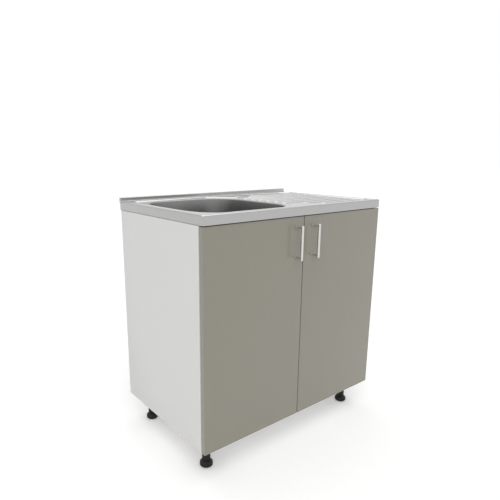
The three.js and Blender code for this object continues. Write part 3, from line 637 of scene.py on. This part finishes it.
def makeUpstand(s):
    rear, front, height, end = s["depth"] + s["upstand"], s["depth"], s["upstandHeight"], s["halfWidth"]
    radius, cove = s["upstandRadius"], s["upstandCove"]
    levels = [(-cove, -s["roll"] - 2), (-cove, -0.02), (-1.1, 0.25), (-0.25, 1.1), (0, cove)]
    rings = [roundedRing(-end, front + out, end, rear, radius, z, 5) for out, z in levels]
    for inset, z in arc(radius, height - radius, radius, radius, 180, 90, 6):
        rings.append(roundedRing(-end + inset, front + inset, end - inset, rear - inset,
                                 max(radius - inset, 0.3), z, 5))
    return Form().loft(rings, capped=True).build("upstand", ["pressedSteel"], 50)


def makeSinkTop(s):
    skin = Form().add(*pressedSkin(s))
    roll, hem = s["roll"], -s["apron"]
    edge = arc(roll, -roll, roll, roll, 90, 180, 6)
    edge += [(0, hem + 2.5), (0.7, hem + 0.7), (2.5, hem), (s["flange"], hem)]
    skin.loft([outlineRing(s, inset, z) for inset, z in edge])
    skin.loft(bowlRings(s), 1)
    level = pressedHeight(s, s["tapX"], s["depth"] - s["tapFromRear"])
    turned = (1, 0), (0.3, 0.3), (0, 1), (0, 2.4)  # the edge is turned down into the tap hole
    skin.loft([tapRing(s, grow, level - down) for grow, down in turned])
    piece = skin.build("sinkTop", ["pressedSteel", "bowlSteel"], weld=0.004)
    modified(piece, "SOLIDIFY", thickness=s["sheet"] * mm, offset=-1, use_even_offset=True, use_rim=True)
    whole = joined("sinkPressing", [piece, makeUpstand(s)])
    origin = Vector((middle("sink_top").x, corners("sink_top")[0].y, rimLevel))
    whole.data.transform(Matrix.Translation(origin * mm))
    return hand(evenNormals(whole, 48), "sink", "stainless", "sink_top")


sinkTop = makeSinkTop(sinkShape)
print("sink top pressed:", len(sinkTop.data.polygons), "faces")


# screws, repeated wherever a piece is fixed

def crossScrew(radius, height, shank=0, shankRadius=0):
    # pan head with a cross recess, its head up +Z and its seat at z = 0
    profile = [(0, height), (radius * 0.55, height * 0.96), (radius * 0.85, height * 0.72),
               (radius, height * 0.3), (radius, 0)]
    profile += [(shankRadius, 0), (shankRadius, -shank), (0, -shank)] if shank else [(0, 0)]
    head = Form().revolve(profile[::-1], 24).build("screw", ["zincPlate"])
    cross = Form()
    arm, web, deep = radius * 0.62, radius * 0.14, height * 0.35
    for x, y in ((arm, web), (web, arm)):
        cross.block((-x, -y, deep), (x, y, height + 1), 0.02, 1)
    return bored(head, cross)


towardsFront = Matrix.Rotation(math.radians(90), 3, "X")  # +Z comes to lie along -Y
towardsRear = Matrix.Rotation(math.radians(-90), 3, "X")  # and along +Y
facingRear = (-90, 0, 0)  # the same turn in degrees, for pieces set on points
sides = ("left", -1), ("right", 1)  # and the sign of their x


def pairOf(kind, side):
    return [f"{kind}_lower_{side}", f"{kind}_upper_{side}"]


def pieceName(node):
    first, *others = node.split("_")
    return first + "".join(word.title() for word in others)


# carcass boards

boardEdge = 0.5
boards = {  # name, and raw faces: small letters low, capitals high
    "side_left": ("sideBoardLeft", "zZY"), "side_right": ("sideBoardRight", "zZY"),
    "bottom_panel": ("bottomBoard", "Y"), "front_rail": ("frontRail", "z"),
    "rear_rail_upper": ("upperRearRail", "zZ"), "rear_rail_lower": ("lowerRearRail", "Z"),
}


def makeBoards(given):
    for node, (name, raw) in given.items():
        form = Form().block(*corners(node), boardEdge)
        piece = form.build(name, ["whiteMelamine", "rawChipboard"], 50)
        for face in piece.data.polygons:
            for axis, letter in enumerate("xyz"):
                along = face.normal[axis]
                if along < -0.9 and letter in raw or along > 0.9 and letter.upper() in raw:
                    face.material_index = 1
        hand(piece, "root", "white_board", node)


makeBoards(boards)
print("carcass boards made")


# doors, handles and their screws

door = {"edge": 0.9, "segments": 3, "cupRadius": 17.6, "cupBore": 11.9, "screwBore": 2.3,
        "screwBoreDepth": 18}
handle = {"thickness": 8, "edge": 2.7, "segments": 5, "footRadius": 4.5, "footHeight": 2.2,
          "footFlare": 4.8, "neckRadius": 3.5, "crownFlare": 0.9, "crownHeight": 3.5, "sunk": 3.5,
          "screwHead": 4.5, "screwHeadHeight": 1.4, "screwRadius": 2}


def handlePost(h, reach):
    foot, neck, crown = h["footRadius"], h["neckRadius"], h["crownHeight"]
    top = reach - h["sunk"]
    post = [(0, 0), (foot - 0.4, 0), (foot, 0.5), (foot, h["footHeight"])]
    post += [(foot - (foot - neck) * smooth(i / 6), h["footHeight"] + h["footFlare"] * i / 6)
             for i in range(1, 7)]
    post.append((neck, top - crown))
    post += [(neck + h["crownFlare"] * smooth(i / 5), top - crown + crown * i / 5) for i in range(1, 6)]
    return post + [(0, top)]


def makeDoors(d, h):
    for side, _ in sides:
        body, screws = f"door_{side}", pairOf("handle_screw", side)
        low, high = corners(body)
        leaf = Form().block(low, high, d["edge"], d["segments"]).build(pieceName(body), ["greyGloss"], 60)
        holes = Form()
        for nodes, radius, deep, steps in ((pairOf("hinge_cup", side), d["cupRadius"], d["cupBore"], 64),
                                           (screws, d["screwBore"], d["screwBoreDepth"], 24)):
            for node in nodes:
                holes.revolve([(0, -1), (radius, -1), (radius, deep), (0, deep)], steps, towardsFront,
                              (middle(node).x, high.y, middle(node).z))
        hand(evenNormals(bored(leaf, holes), 24), body, "grey_gloss_door", body)

        low, high = corners(f"handle_{side}")
        thick, head = h["thickness"], h["screwHeadHeight"]
        bow = Form().block(low, Vector((high.x, low.y + thick, high.z)), h["edge"], h["segments"])
        post = handlePost(h, high.y - low.y - thick / 2)
        for node in screws:
            bow.revolve(post, 32, towardsFront, (middle(node).x, high.y, middle(node).z))
        hand(bow.build(f"handle{side.title()}", ["satinHandle"]), body, "satin_metal", f"handle_{side}")

        low, high = corners(screws[0])
        screw = crossScrew(h["screwHead"], head, high.y - low.y - head, h["screwRadius"])
        spots = [(middle(node).x, high.y - head, middle(node).z) for node in screws]
        placed = setOnPoints(f"handleScrews{side.title()}", screw, spots, facingRear)
        hand(placed, body, "zinc_plate", *screws)


makeDoors(door, handle)
print("doors and handles made")


# concealed hinges

hinge = {"cupRadius": 17.5, "cupWall": 1, "flange": 1.2, "flangeRadius": 18.5, "eyeRadius": 3,
         "earHalf": 7, "earFrom": 15.5, "earReach": 30, "earRadius": 5, "earOffset": 9.5, "earScrew": 22.5,
         "earScrewSize": (3.4, 1.6), "plateScrew": 16, "plateScrewSize": (4, 2), "plateRise": 2.8,
         "screwSetback": 37, "adjustSpots": (26, 56), "adjustSize": (3, 1.2)}


def cupProfile(h, depth):
    outer, rim, wall = h["cupRadius"], h["flangeRadius"], h["cupRadius"] - h["cupWall"]
    under = depth - h["flange"]
    return [(0, 0), (outer - 2.2, 0), (outer - 0.7, 0.6), (outer, 2.2), (outer, under), (rim, under),
            (rim, depth - 0.3), (rim - 0.3, depth), (wall + 0.6, depth), (wall, depth - 0.6), (wall, 3),
            (wall - 0.6, 1.6), (wall - 2, h["cupWall"]), (0, h["cupWall"])]


def earRings(h, x, y, z):
    # a flat ear beside the cup, its edge eased at the visible face y
    half = (h["earReach"] - h["earFrom"]) / 2
    outline = roundedRing(-h["earHalf"], -half, h["earHalf"], half, h["earRadius"], 0)
    return [[(x + across * size, y - down, z + up * size) for across, up, _ in outline]
            for down, size in ((h["flange"], 1), (0.3, 1), (0, 0.96))]


def makeHinges(h):
    for side, sign in sides:
        cupNodes, cups, spots = pairOf("hinge_cup", side), Form(), []
        for node in cupNodes:
            low, high = corners(node)
            at = middle(node)
            cups.revolve(cupProfile(h, high.y - low.y), 64, towardsRear, (at.x, low.y, at.z))
            ear = at.x - sign * h["earOffset"]
            for up in (-1, 1):
                earMiddle = at.z + up * (h["earFrom"] + h["earReach"]) / 2
                cups.loft(earRings(h, ear, high.y, earMiddle), capped=True)
                spots.append((ear, high.y, at.z + up * h["earScrew"]))
        screws = setOnPoints("earScrews", crossScrew(*h["earScrewSize"]), spots, facingRear)
        whole = joined(f"hingeCups{side.title()}", [cups.build("cups", ["zincPlate"]), screws])
        hand(whole, f"door_{side}", "zinc_plate", *cupNodes)

        boardLow, boardHigh = corners(f"side_{side}")
        face = (boardLow.x if sign > 0 else boardHigh.x) - sign * h["plateRise"]
        plateSpots, adjustSpots = [], []
        for plate, arm in zip(pairOf("hinge_plate", side), pairOf("hinge_arm", side)):
            level = middle(plate).z
            plateSpots += [(face, boardLow.y + h["screwSetback"], level + up * h["plateScrew"])
                           for up in (-1, 1)]
            low, high = corners(arm)
            web = low.x if sign > 0 else high.x
            adjustSpots += [(web, low.y + back, level) for back in h["adjustSpots"]]
        inwards = (0, -90 * sign, 0)
        screws = [setOnPoints("screws", crossScrew(*size), spots, inwards)
                  for size, spots in ((h["plateScrewSize"], plateSpots), (h["adjustSize"], adjustSpots))]
        hand(joined(f"hingeScrews{side.title()}", screws), "root", "zinc_plate")


def softened(name, nodes, look):
    # the CAD's stamped sheets, each merged into one skin with its edges eased
    pieces = []
    for node in nodes:
        mesh = bpy.data.meshes.new(name)
        work = bmesh.new()
        work.from_mesh(bpy.data.objects[node].data)
        bmesh.ops.remove_doubles(work, verts=work.verts[:], dist=look["merge"] * mm)
        bmesh.ops.dissolve_limit(work, angle_limit=math.radians(look["flatAngle"]), verts=work.verts[:],
                                 edges=work.edges[:])
        work.to_mesh(mesh)
        work.free()
        mesh.materials.append(materials["zincPlate"])
        pieces.append(modified(linked(name, mesh), "BEVEL", width=look["edge"] * mm, segments=2,
                               limit_method="ANGLE", angle_limit=math.radians(look["bevelAngle"])))
    whole = joined(name, pieces)
    finishMesh(whole.data, look["sharpAngle"], 0, False)
    return whole


stamped = {"merge": 0.002, "flatAngle": 2, "edge": 0.25, "bevelAngle": 40, "sharpAngle": 50,
           "rivetRadius": 2.6, "rivetHeight": 0.7, "rivetSunk": 0.3}


def makeStampings(h):
    radius, height, sunk, eye = h["rivetRadius"], h["rivetHeight"], h["rivetSunk"], hinge["eyeRadius"]
    dome = [(0, -sunk), (radius, -sunk), (radius, height * 0.4), (radius * 0.7, height * 0.9), (0, height)]
    upsideDown = Matrix.Rotation(math.pi, 3, "X")
    for side, sign in sides:
        plates, links, arms = (pairOf(f"hinge_{kind}", side) for kind in ("plate", "link", "arm"))
        hand(softened(f"hingePlates{side.title()}", plates, h), "root", "zinc_plate", *plates)
        hand(softened(f"hingeLinks{side.title()}", links, h), f"hinge_links_{side}", "zinc_plate", *links)
        sheets, heads = softened("sheets", arms, h), Form()
        for node in arms:  # the pin stands at the arm's front and outer side
            low, high = corners(node)
            x, y = high.x - eye if sign > 0 else low.x + eye, low.y + eye
            heads.revolve(dome, 20, at=(x, y, high.z))
            heads.revolve(dome, 20, upsideDown, (x, y, low.z))
        whole = joined(f"hingeArms{side.title()}", [sheets, heads.build("rivets", ["zincPlate"])])
        hand(whole, "root", "zinc_plate", *arms)


makeHinges(hinge)
makeStampings(stamped)
print("hinges made")


# legs and levelling feet

leg = {"plateRadius": 30, "plateThickness": 4, "socketRadius": 18, "socketHeight": 22, "columnRadius": 13.8,
       "bore": 9.6, "boreTop": 70.3, "flutes": 16, "fluteDepth": 0.9, "fluteHalf": 0.9, "webs": 8,
       "webHeight": 9, "webEdge": 4, "webSlope": 0.75, "webHalf": 0.8}
foot = {"radius": 21.5, "height": 22, "chamfer": 4, "shoulder": 7, "grips": 20, "gripDepth": 0.9,
        "gripHalf": 1.5, "stemRadius": 9, "stemLength": 45, "threads": 14, "threadPitch": 3,
        "threadDepth": 0.9}


def makeLeg(g, node):
    low, high = corners(node)
    at = Vector((*middle(node).xy, 0))
    base, top, plate = low.z, high.z, high.z - g["plateThickness"]
    wide, rim, bore, boreTop = g["socketRadius"], g["plateRadius"], g["bore"], g["boreTop"]
    socket, flute = plate - g["socketHeight"], g["columnRadius"] - g["fluteDepth"]
    profile = [(bore, base), (flute - 0.5, base), (flute, base + 0.5), (flute, socket - 2.5),
               (wide - 1, socket), (wide, socket + 1), (wide + 1, plate - 4), (wide + 2.2, plate - 1.2),
               (wide + 5, plate), (rim - 0.6, plate), (rim, plate + 0.6), (rim, top - 0.5),
               (rim - 0.5, top), (0, top), (0, boreTop), (bore, boreTop), (bore, base)]
    column = Form().revolve(profile, 64, at=at).build("column", ["blackPlastic"])
    ridge = Form().block((flute - 1, -g["fluteHalf"], base + 0.8),
                         (g["columnRadius"], g["fluteHalf"], socket - 1), 0.4)
    web = Form().block((wide - 0.5, -g["webHalf"], plate - g["webHeight"]),
                       (rim - 3, g["webHalf"], plate + 0.5), 0.3, 1)
    for point in web.points:  # webs slope up to the plate's edge
        if point.z < plate - g["webEdge"]:
            point.z += (point.x - wide) * g["webSlope"]
    return joined(pieceName(node), [column, around(ridge, g["flutes"], "blackPlastic", at),
                                    around(web, g["webs"], "blackPlastic", at)])


def makeFoot(f, node):
    at = Vector((*middle(node).xy, 0))
    column, stem, thread = leg["columnRadius"], f["stemRadius"], f["stemRadius"] - f["threadDepth"]
    height, pitch, stemTop = f["height"], f["threadPitch"], f["height"] + f["stemLength"]
    rim = f["radius"] - f["gripDepth"]
    chamfer, crest = f["chamfer"], height - f["shoulder"]
    sole = [(0, 0), (rim - chamfer - 0.8, 0), (rim - chamfer, 0.2), (rim - 0.4, chamfer - 0.5),
            (rim, chamfer + 0.5), (rim, crest - 1), (rim - 0.5, crest + 0.6), (column + 2, height - 1.4),
            (column + 0.8, height - 0.5), (column - 0.4, height), (stem, height)]
    for i in range(f["threads"]):  # rounded thread, drawn as rings
        z = height + i * pitch
        sole += [(stem, z + 0.6), (thread, z + 1.5), (thread, z + 2.1), (stem, z + pitch)]
    sole += [(stem - 0.5, stemTop + 0.8), (0, stemTop + 1)]
    whole = Form().revolve(sole, 64, at=at).build("sole", ["blackPlastic"])
    grip = Form().block((rim - 1, -f["gripHalf"], chamfer), (f["radius"], f["gripHalf"], crest), 0.6)
    return joined(pieceName(node), [whole, around(grip, f["grips"], "blackPlastic", at)])


for place in ("front_left", "front_right", "rear_left", "rear_right"):
    hand(makeLeg(leg, f"leg_{place}"), "root", "black_plastic", f"leg_{place}")
    hand(makeFoot(foot, f"foot_{place}"), f"foot_{place}", "black_plastic", f"foot_{place}")
print("legs and feet made")


# waste and strainer basket, drawn about the drain with its seat at z = 0

waste = {"radius": 58, "thickness": 2.2, "seat": 0.3, "groove": 0.35, "sleeve": 45.5, "wall": 1.5,
         "depth": 42, "tailRadius": 20, "tail": 30, "ledge": 3, "ledgeLevel": -8}
strainer = {"slots": 18, "slotInner": 20, "slotOuter": 41, "spoke": 4.2, "hub": 17.5, "rim": 42.4,
            "outer": 43.7, "level": -6.1, "lip": 0.9, "knobHeight": 14, "thickness": 1.28, "arcSteps": 6}


def drainOrigin():
    spot = middle("waste_flange")
    return Vector((spot.x, spot.y, corners("waste_flange")[1].z - waste["seat"] - waste["thickness"]))


def makeWaste(w):
    edge, seat, sleeve, tail = w["radius"], w["seat"], w["sleeve"], w["tailRadius"]
    inner, tube, shelf = sleeve - w["wall"], tail - w["wall"], w["ledgeLevel"]
    ledge, top, groove = inner - w["ledge"], seat + w["thickness"], seat + w["thickness"] - w["groove"]
    neck, foot = -w["depth"], -w["depth"] - w["tail"]
    profile = [(inner, shelf + 0.4), *arc(inner + 2, top - 2.2, 2, 2.2, 180, 90, 6),
               (edge - 9, top), (edge - 7.5, groove), (edge - 4, groove),
               *arc(edge - 2.2, seat + 0.15, 2.2, 1.7, 90, 0, 6),
               (edge - 0.3, seat), (sleeve, seat), (sleeve, neck + 14), (sleeve - 2, neck + 11),
               (tail + 2, neck + 0.8), (tail, neck - 1.5), (tail, foot), (tube, foot), (tube, neck + 1),
               (tube + 2, neck + 2.6), (ledge - 1, neck + 13), (ledge, neck + 15), (ledge, shelf - 0.4),
               (ledge + 0.4, shelf), (inner - 0.4, shelf), (inner, shelf + 0.4)]
    at = drainOrigin()
    flange = Form().revolve(profile, 96, at=at).build("wasteFlange", ["wasteSteel", "blackPlastic"])
    for face in flange.data.polygons:  # the chamber under the ledge is moulded plastic
        if face.center.z / mm < at.z + shelf - 0.2:
            face.material_index = 1
    hand(flange, "sink", "stainless", "waste_flange")


def strainerSector(s):
    # one slot's share of the basket's face, with the hub, knob and rim
    span, steps, level = 2 * math.pi / s["slots"], s["arcSteps"], s["level"]
    inner, outer = s["slotInner"], s["slotOuter"]
    angles = [-span / 2 + span * i / steps for i in range(steps + 1)]

    def arcAt(radius, z):
        return [(radius * math.cos(a), radius * math.sin(a), z) for a in angles]

    def strip(profile):
        rows = [arcAt(radius, z) for radius, z in profile]
        faces = []
        for i in range(len(rows) - 1):
            for a in range(i * (steps + 1), i * (steps + 1) + steps):
                b = a + steps + 1
                faces.append([b, b + 1, a] if profile[i][0] < 1e-6 else [b, b + 1, a + 1, a])
        form.add([point for row in rows for point in row], faces)

    def half(radius):
        return math.pi * radius / s["slots"] - s["spoke"] / 2

    outline = arcAt(s["hub"], level) + arcAt(s["rim"], level)[::-1]
    corner = [(outer - 1.8, half(outer - 1.8)), (outer - 0.9, half(outer - 0.9) - 0.25),
              (outer - 0.25, half(outer) - 0.9), (outer + 0.1, half(outer) - 2), (outer + 0.3, 0)]
    slot = [(x, -y, 0) for x, y in corner] + [(x, y, 0) for x, y in corner[-2::-1]]
    tip = half(inner + 1)
    slot += [(inner + tip + tip * math.cos(a), tip * math.sin(a), 0)
             for a in [math.radians(100 + 20 * i) for i in range(9)]]
    found, triangles = meshed([(outline, True), (slot, True)], 1e-5)
    form = Form().add([(x, y, level) for x, y in found],
                      [triangle for triangle, spot in triangles
                       if insidePolygon(spot, flat(outline)) and not insidePolygon(spot, flat(slot))])
    top = level + s["knobHeight"]
    strip([(0, top + 0.3), (2.2, top + 0.2), (4.6, top - 0.3), (5.9, top - 1.3), (6.5, top - 2.8),
           (5.9, top - 4.2), (4.8, top - 5.2), (4.5, top - 6.2), (4.5, level + 6), (4.9, level + 4.9),
           (6.5, level + 4), (8.5, level + 3.5), (13.5, level + 2.9), (14.9, level + 2.3),
           (15.7, level + 1.2), (16.5, level + 0.35), (s["hub"], level)])
    edge = s["outer"]
    strip([(s["rim"], level), (edge - 0.5, level + 0.5), (edge, level + 1.4), (edge, s["lip"] - 0.5),
           (edge - 0.1, s["lip"])])
    return form.build("sector", ["wasteSteel"], 180)


def makeStrainer(s):
    basket = repeatRound("strainerBasket", strainerSector(s), s["slots"], drainOrigin(), weld=0.01)
    finishMesh(basket.data, 50, 0.01, False)
    modified(basket, "SOLIDIFY", thickness=s["thickness"] * mm, offset=-1, use_even_offset=True)
    finishMesh(basket.data, 45)
    return hand(basket, "strainer", "stainless", "strainer_basket")


makeWaste(waste)
makeStrainer(strainer)
print("waste and strainer made")


# under the bowl: gasket, back nut and bottle trap

gasketBore = 46.1
backNut = {"radius": 55.8, "lugs": 8, "lugFrom": 53.8, "lugTo": 58.3, "lugHalf": 2.4, "lugDrop": 3}
trap = {"neckInner": 20.7, "wall": 2.4, "radius": 32, "top": -64, "shoulder": -82, "foot": -160,
        "outlet": -112, "outletRadius": 20, "outletFrom": 26, "outletReach": 62, "collar": 32.93,
        "cupTop": -146, "cupFoot": -186, "cupGrips": 20, "nutWall": 5, "nutHeight": 20, "nutGrips": 16,
        "grip": 1.5, "inletNut": 23.86, "outletNut": 20.7}


def washer(inner, outer, low, high, edge):
    return [(inner, low + edge), (inner + edge, low), (outer - edge, low), (outer, low + edge),
            (outer, high - edge), (outer - edge, high), (inner + edge, high), (inner, high - edge),
            (inner, low + edge)]


def whiteShell(profile, steps, at, sharpAngle, turn=noTurn):
    return Form().revolve(profile, steps, turn, at).build("shell", ["whitePlastic"], sharpAngle)


def makeNut(t, node, inner, at, turn=noTurn):
    outer, height = inner + t["nutWall"], t["nutHeight"]
    profile = [(inner, 0.4), (inner + 0.4, 0), (outer - 0.4, 0), (outer, 0.8), (outer, height - 4),
               (outer - 1.6, height - 1), (outer - 2.4, height), (inner + 0.4, height),
               (inner, height - 0.4), (inner, 0.4)]
    rib = Form().block((outer - 0.6, -1, 1.5), (outer + t["grip"], 1, height - 4), 0.5)
    whole = joined(pieceName(node), [whiteShell(profile, 64, at, 35, turn),
                                     around(rib, t["nutGrips"], "whitePlastic", at, 35, turn)])
    hand(whole, "sink", "white_plastic", node)


def makeSeals(n, at):
    low, high = corners("waste_gasket")
    profile = washer(gasketBore, (high.x - low.x) / 2, low.z - at.z, high.z - at.z, 0.7)
    gasket = Form().revolve(profile, 96, at=at).build("wasteGasket", ["greyRubber"])
    hand(gasket, "sink", "rubber_gasket", "waste_gasket")

    low, high = corners("waste_back_nut")
    foot, top = low.z - at.z, high.z - at.z
    ring = whiteShell(washer(gasketBore, n["radius"], foot, top, 0.8), 96, at, 40)
    lug = Form().block((n["lugFrom"], -n["lugHalf"], foot),
                       (n["lugTo"], n["lugHalf"], top - n["lugDrop"]), 0.7)
    lugs = around(lug, n["lugs"], "whitePlastic", at)
    hand(joined("wasteBackNut", [ring, lugs]), "sink", "white_plastic", "waste_back_nut")


def makeTrap(t, at):
    bore, wall, radius = t["neckInner"], t["wall"], t["radius"]
    top, shoulder, foot = t["top"], t["shoulder"], t["foot"]
    neck, inner = bore + wall, radius - wall
    bottle = [(bore, top), (neck - 0.5, top), (neck, top - 0.5),
              *arc(radius, shoulder + 5, radius - neck, 9, 180, 270, 6), (radius, foot), (inner, foot),
              (inner, shoulder - 5), (bore + 2, shoulder + 1), (bore, shoulder + 3), (bore, top)]
    outlet, reach, start = t["outletRadius"], t["outletReach"], t["outletFrom"]
    pipe = [(outlet - wall, start + 2), (outlet - wall, reach), (outlet - 0.5, reach),
            (outlet, reach - 0.5), (outlet, start + 7), (outlet + 2.5, start), (outlet - wall, start),
            (outlet - wall, start + 2)]
    pipeAt = at + Vector((0, 0, t["outlet"]))
    body = Form().revolve(bottle, 72, at=at).revolve(pipe, 56, towardsRear, pipeAt)
    hand(body.build("trapBody", ["whitePlastic"], 38), "sink", "white_plastic", "trap_body")

    collar, base, top = t["collar"], t["cupFoot"], t["cupTop"]
    outer = collar + wall
    cup = [(0, base + 0.6), (8, base), (radius - 9, base), *arc(radius - 9, base + 8, 8, 8, -75, 0, 6),
           (collar + 0.6, foot - 6), (outer, foot - 3), (outer, top - 0.5), (outer - 0.5, top),
           (collar, top), (collar, foot - 0.3), (inner, foot - 0.3), (inner - 3, foot - 8),
           (radius - 6, base + 9), (radius - 11, base + wall), (0, base + wall)]
    rib = Form().block((outer - 0.5, -1, foot - 2), (outer + t["grip"], 1, top - 2), 0.4)
    ribs = around(rib, t["cupGrips"], "whitePlastic", at, 38)
    hand(joined("trapCup", [whiteShell(cup, 72, at, 38), ribs]), "sink", "white_plastic", "trap_cup")

    makeNut(t, "trap_inlet_nut", t["inletNut"], (at.x, at.y, corners("trap_inlet_nut")[0].z))
    outletAt = (at.x, corners("trap_outlet_nut")[0].y, pipeAt.z)
    makeNut(t, "trap_outlet_nut", t["outletNut"], outletAt, towardsRear)


makeSeals(backNut, drainOrigin())
makeTrap(trap, drainOrigin())
print("trap made")


# floor, light and camera

studio = {"floorColour": 0.9, "floorGlow": 0.2, "floorRoughness": 0.9, "floorSpecular": 0.1,
          "floorHalf": 40, "floorLevel": -0.0002, "dim": 0.16, "dimColour": (0.985, 0.99, 1, 1),
          "dome": 1.9, "domeAngle": 86, "key": 1.1, "keyAngle": 50, "keyTurn": (52, 0, -40)}


def makeStudio(s):
    mesh = bpy.data.meshes.new("floor")
    size = s["floorHalf"]
    spread = (-size, -size), (size, -size), (size, size), (-size, size)
    mesh.from_pydata([(x, y, s["floorLevel"]) for x, y in spread], [], [(0, 1, 2, 3)])
    floor = linked("floor", mesh)
    material, _, shader = newMaterial("paleFloor")
    filled(shader, {"Base Color": (*[s["floorColour"]] * 3, 1), "Roughness": s["floorRoughness"],
                    "Specular IOR Level": s["floorSpecular"], "Emission Color": (1, 1, 1, 1),
                    "Emission Strength": s["floorGlow"]})
    mesh.materials.append(material)

    world = bpy.data.worlds.new("studio")
    bpy.context.scene.world = world
    world.use_nodes = True
    tree = world.node_tree
    seen = filled(tree.nodes["Background"], {"Color": (1, 1, 1, 1), "Strength": 1})
    light = added(tree, "ShaderNodeBackground", {"Color": s["dimColour"], "Strength": s["dim"]})
    path = added(tree, "ShaderNodeLightPath")
    mix = added(tree, "ShaderNodeMixShader")
    seenBy = path.outputs["Is Camera Ray"]
    for ray in ("Is Glossy Ray", "Is Transmission Ray"):
        either = added(tree, "ShaderNodeMath", operation="MAXIMUM")
        wire(tree, (seenBy, either.inputs[0]), (path.outputs[ray], either.inputs[1]))
        seenBy = either.outputs[0]
    wire(tree, (seenBy, mix.inputs[0]), (light.outputs[0], mix.inputs[1]), (seen.outputs[0], mix.inputs[2]),
         (mix.outputs[0], tree.nodes["World Output"].inputs["Surface"]))

    for name, strength, angle, turn in (("dome", s["dome"], s["domeAngle"], (0, 0, 0)),
                                        ("key", s["key"], s["keyAngle"], s["keyTurn"])):
        sun = bpy.data.lights.new(name, "SUN")
        sun.energy = strength
        sun.angle = math.radians(angle)
        lamp = linked(name, sun)
        lamp.rotation_euler = [math.radians(value) for value in turn]
        lamp.visible_glossy = name == "dome"  # the key leaves no mirror image in the steel


makeStudio(studio)

view = {"place": (-1.0976, -1.23805, 0.98069), "turn": (76.626, 0, -37.69), "lens": 33.075,
        "shift": (0.0509, 0.0329)}
camera = linked("camera", bpy.data.cameras.new("camera"))
camera.location = view["place"]
camera.rotation_euler = [math.radians(value) for value in view["turn"]]
camera.data.lens, camera.data.shift_x, camera.data.shift_y = view["lens"], *view["shift"]
bpy.context.scene.camera = camera
bpy.context.scene.view_settings.view_transform = "Standard"

print("scene ready")
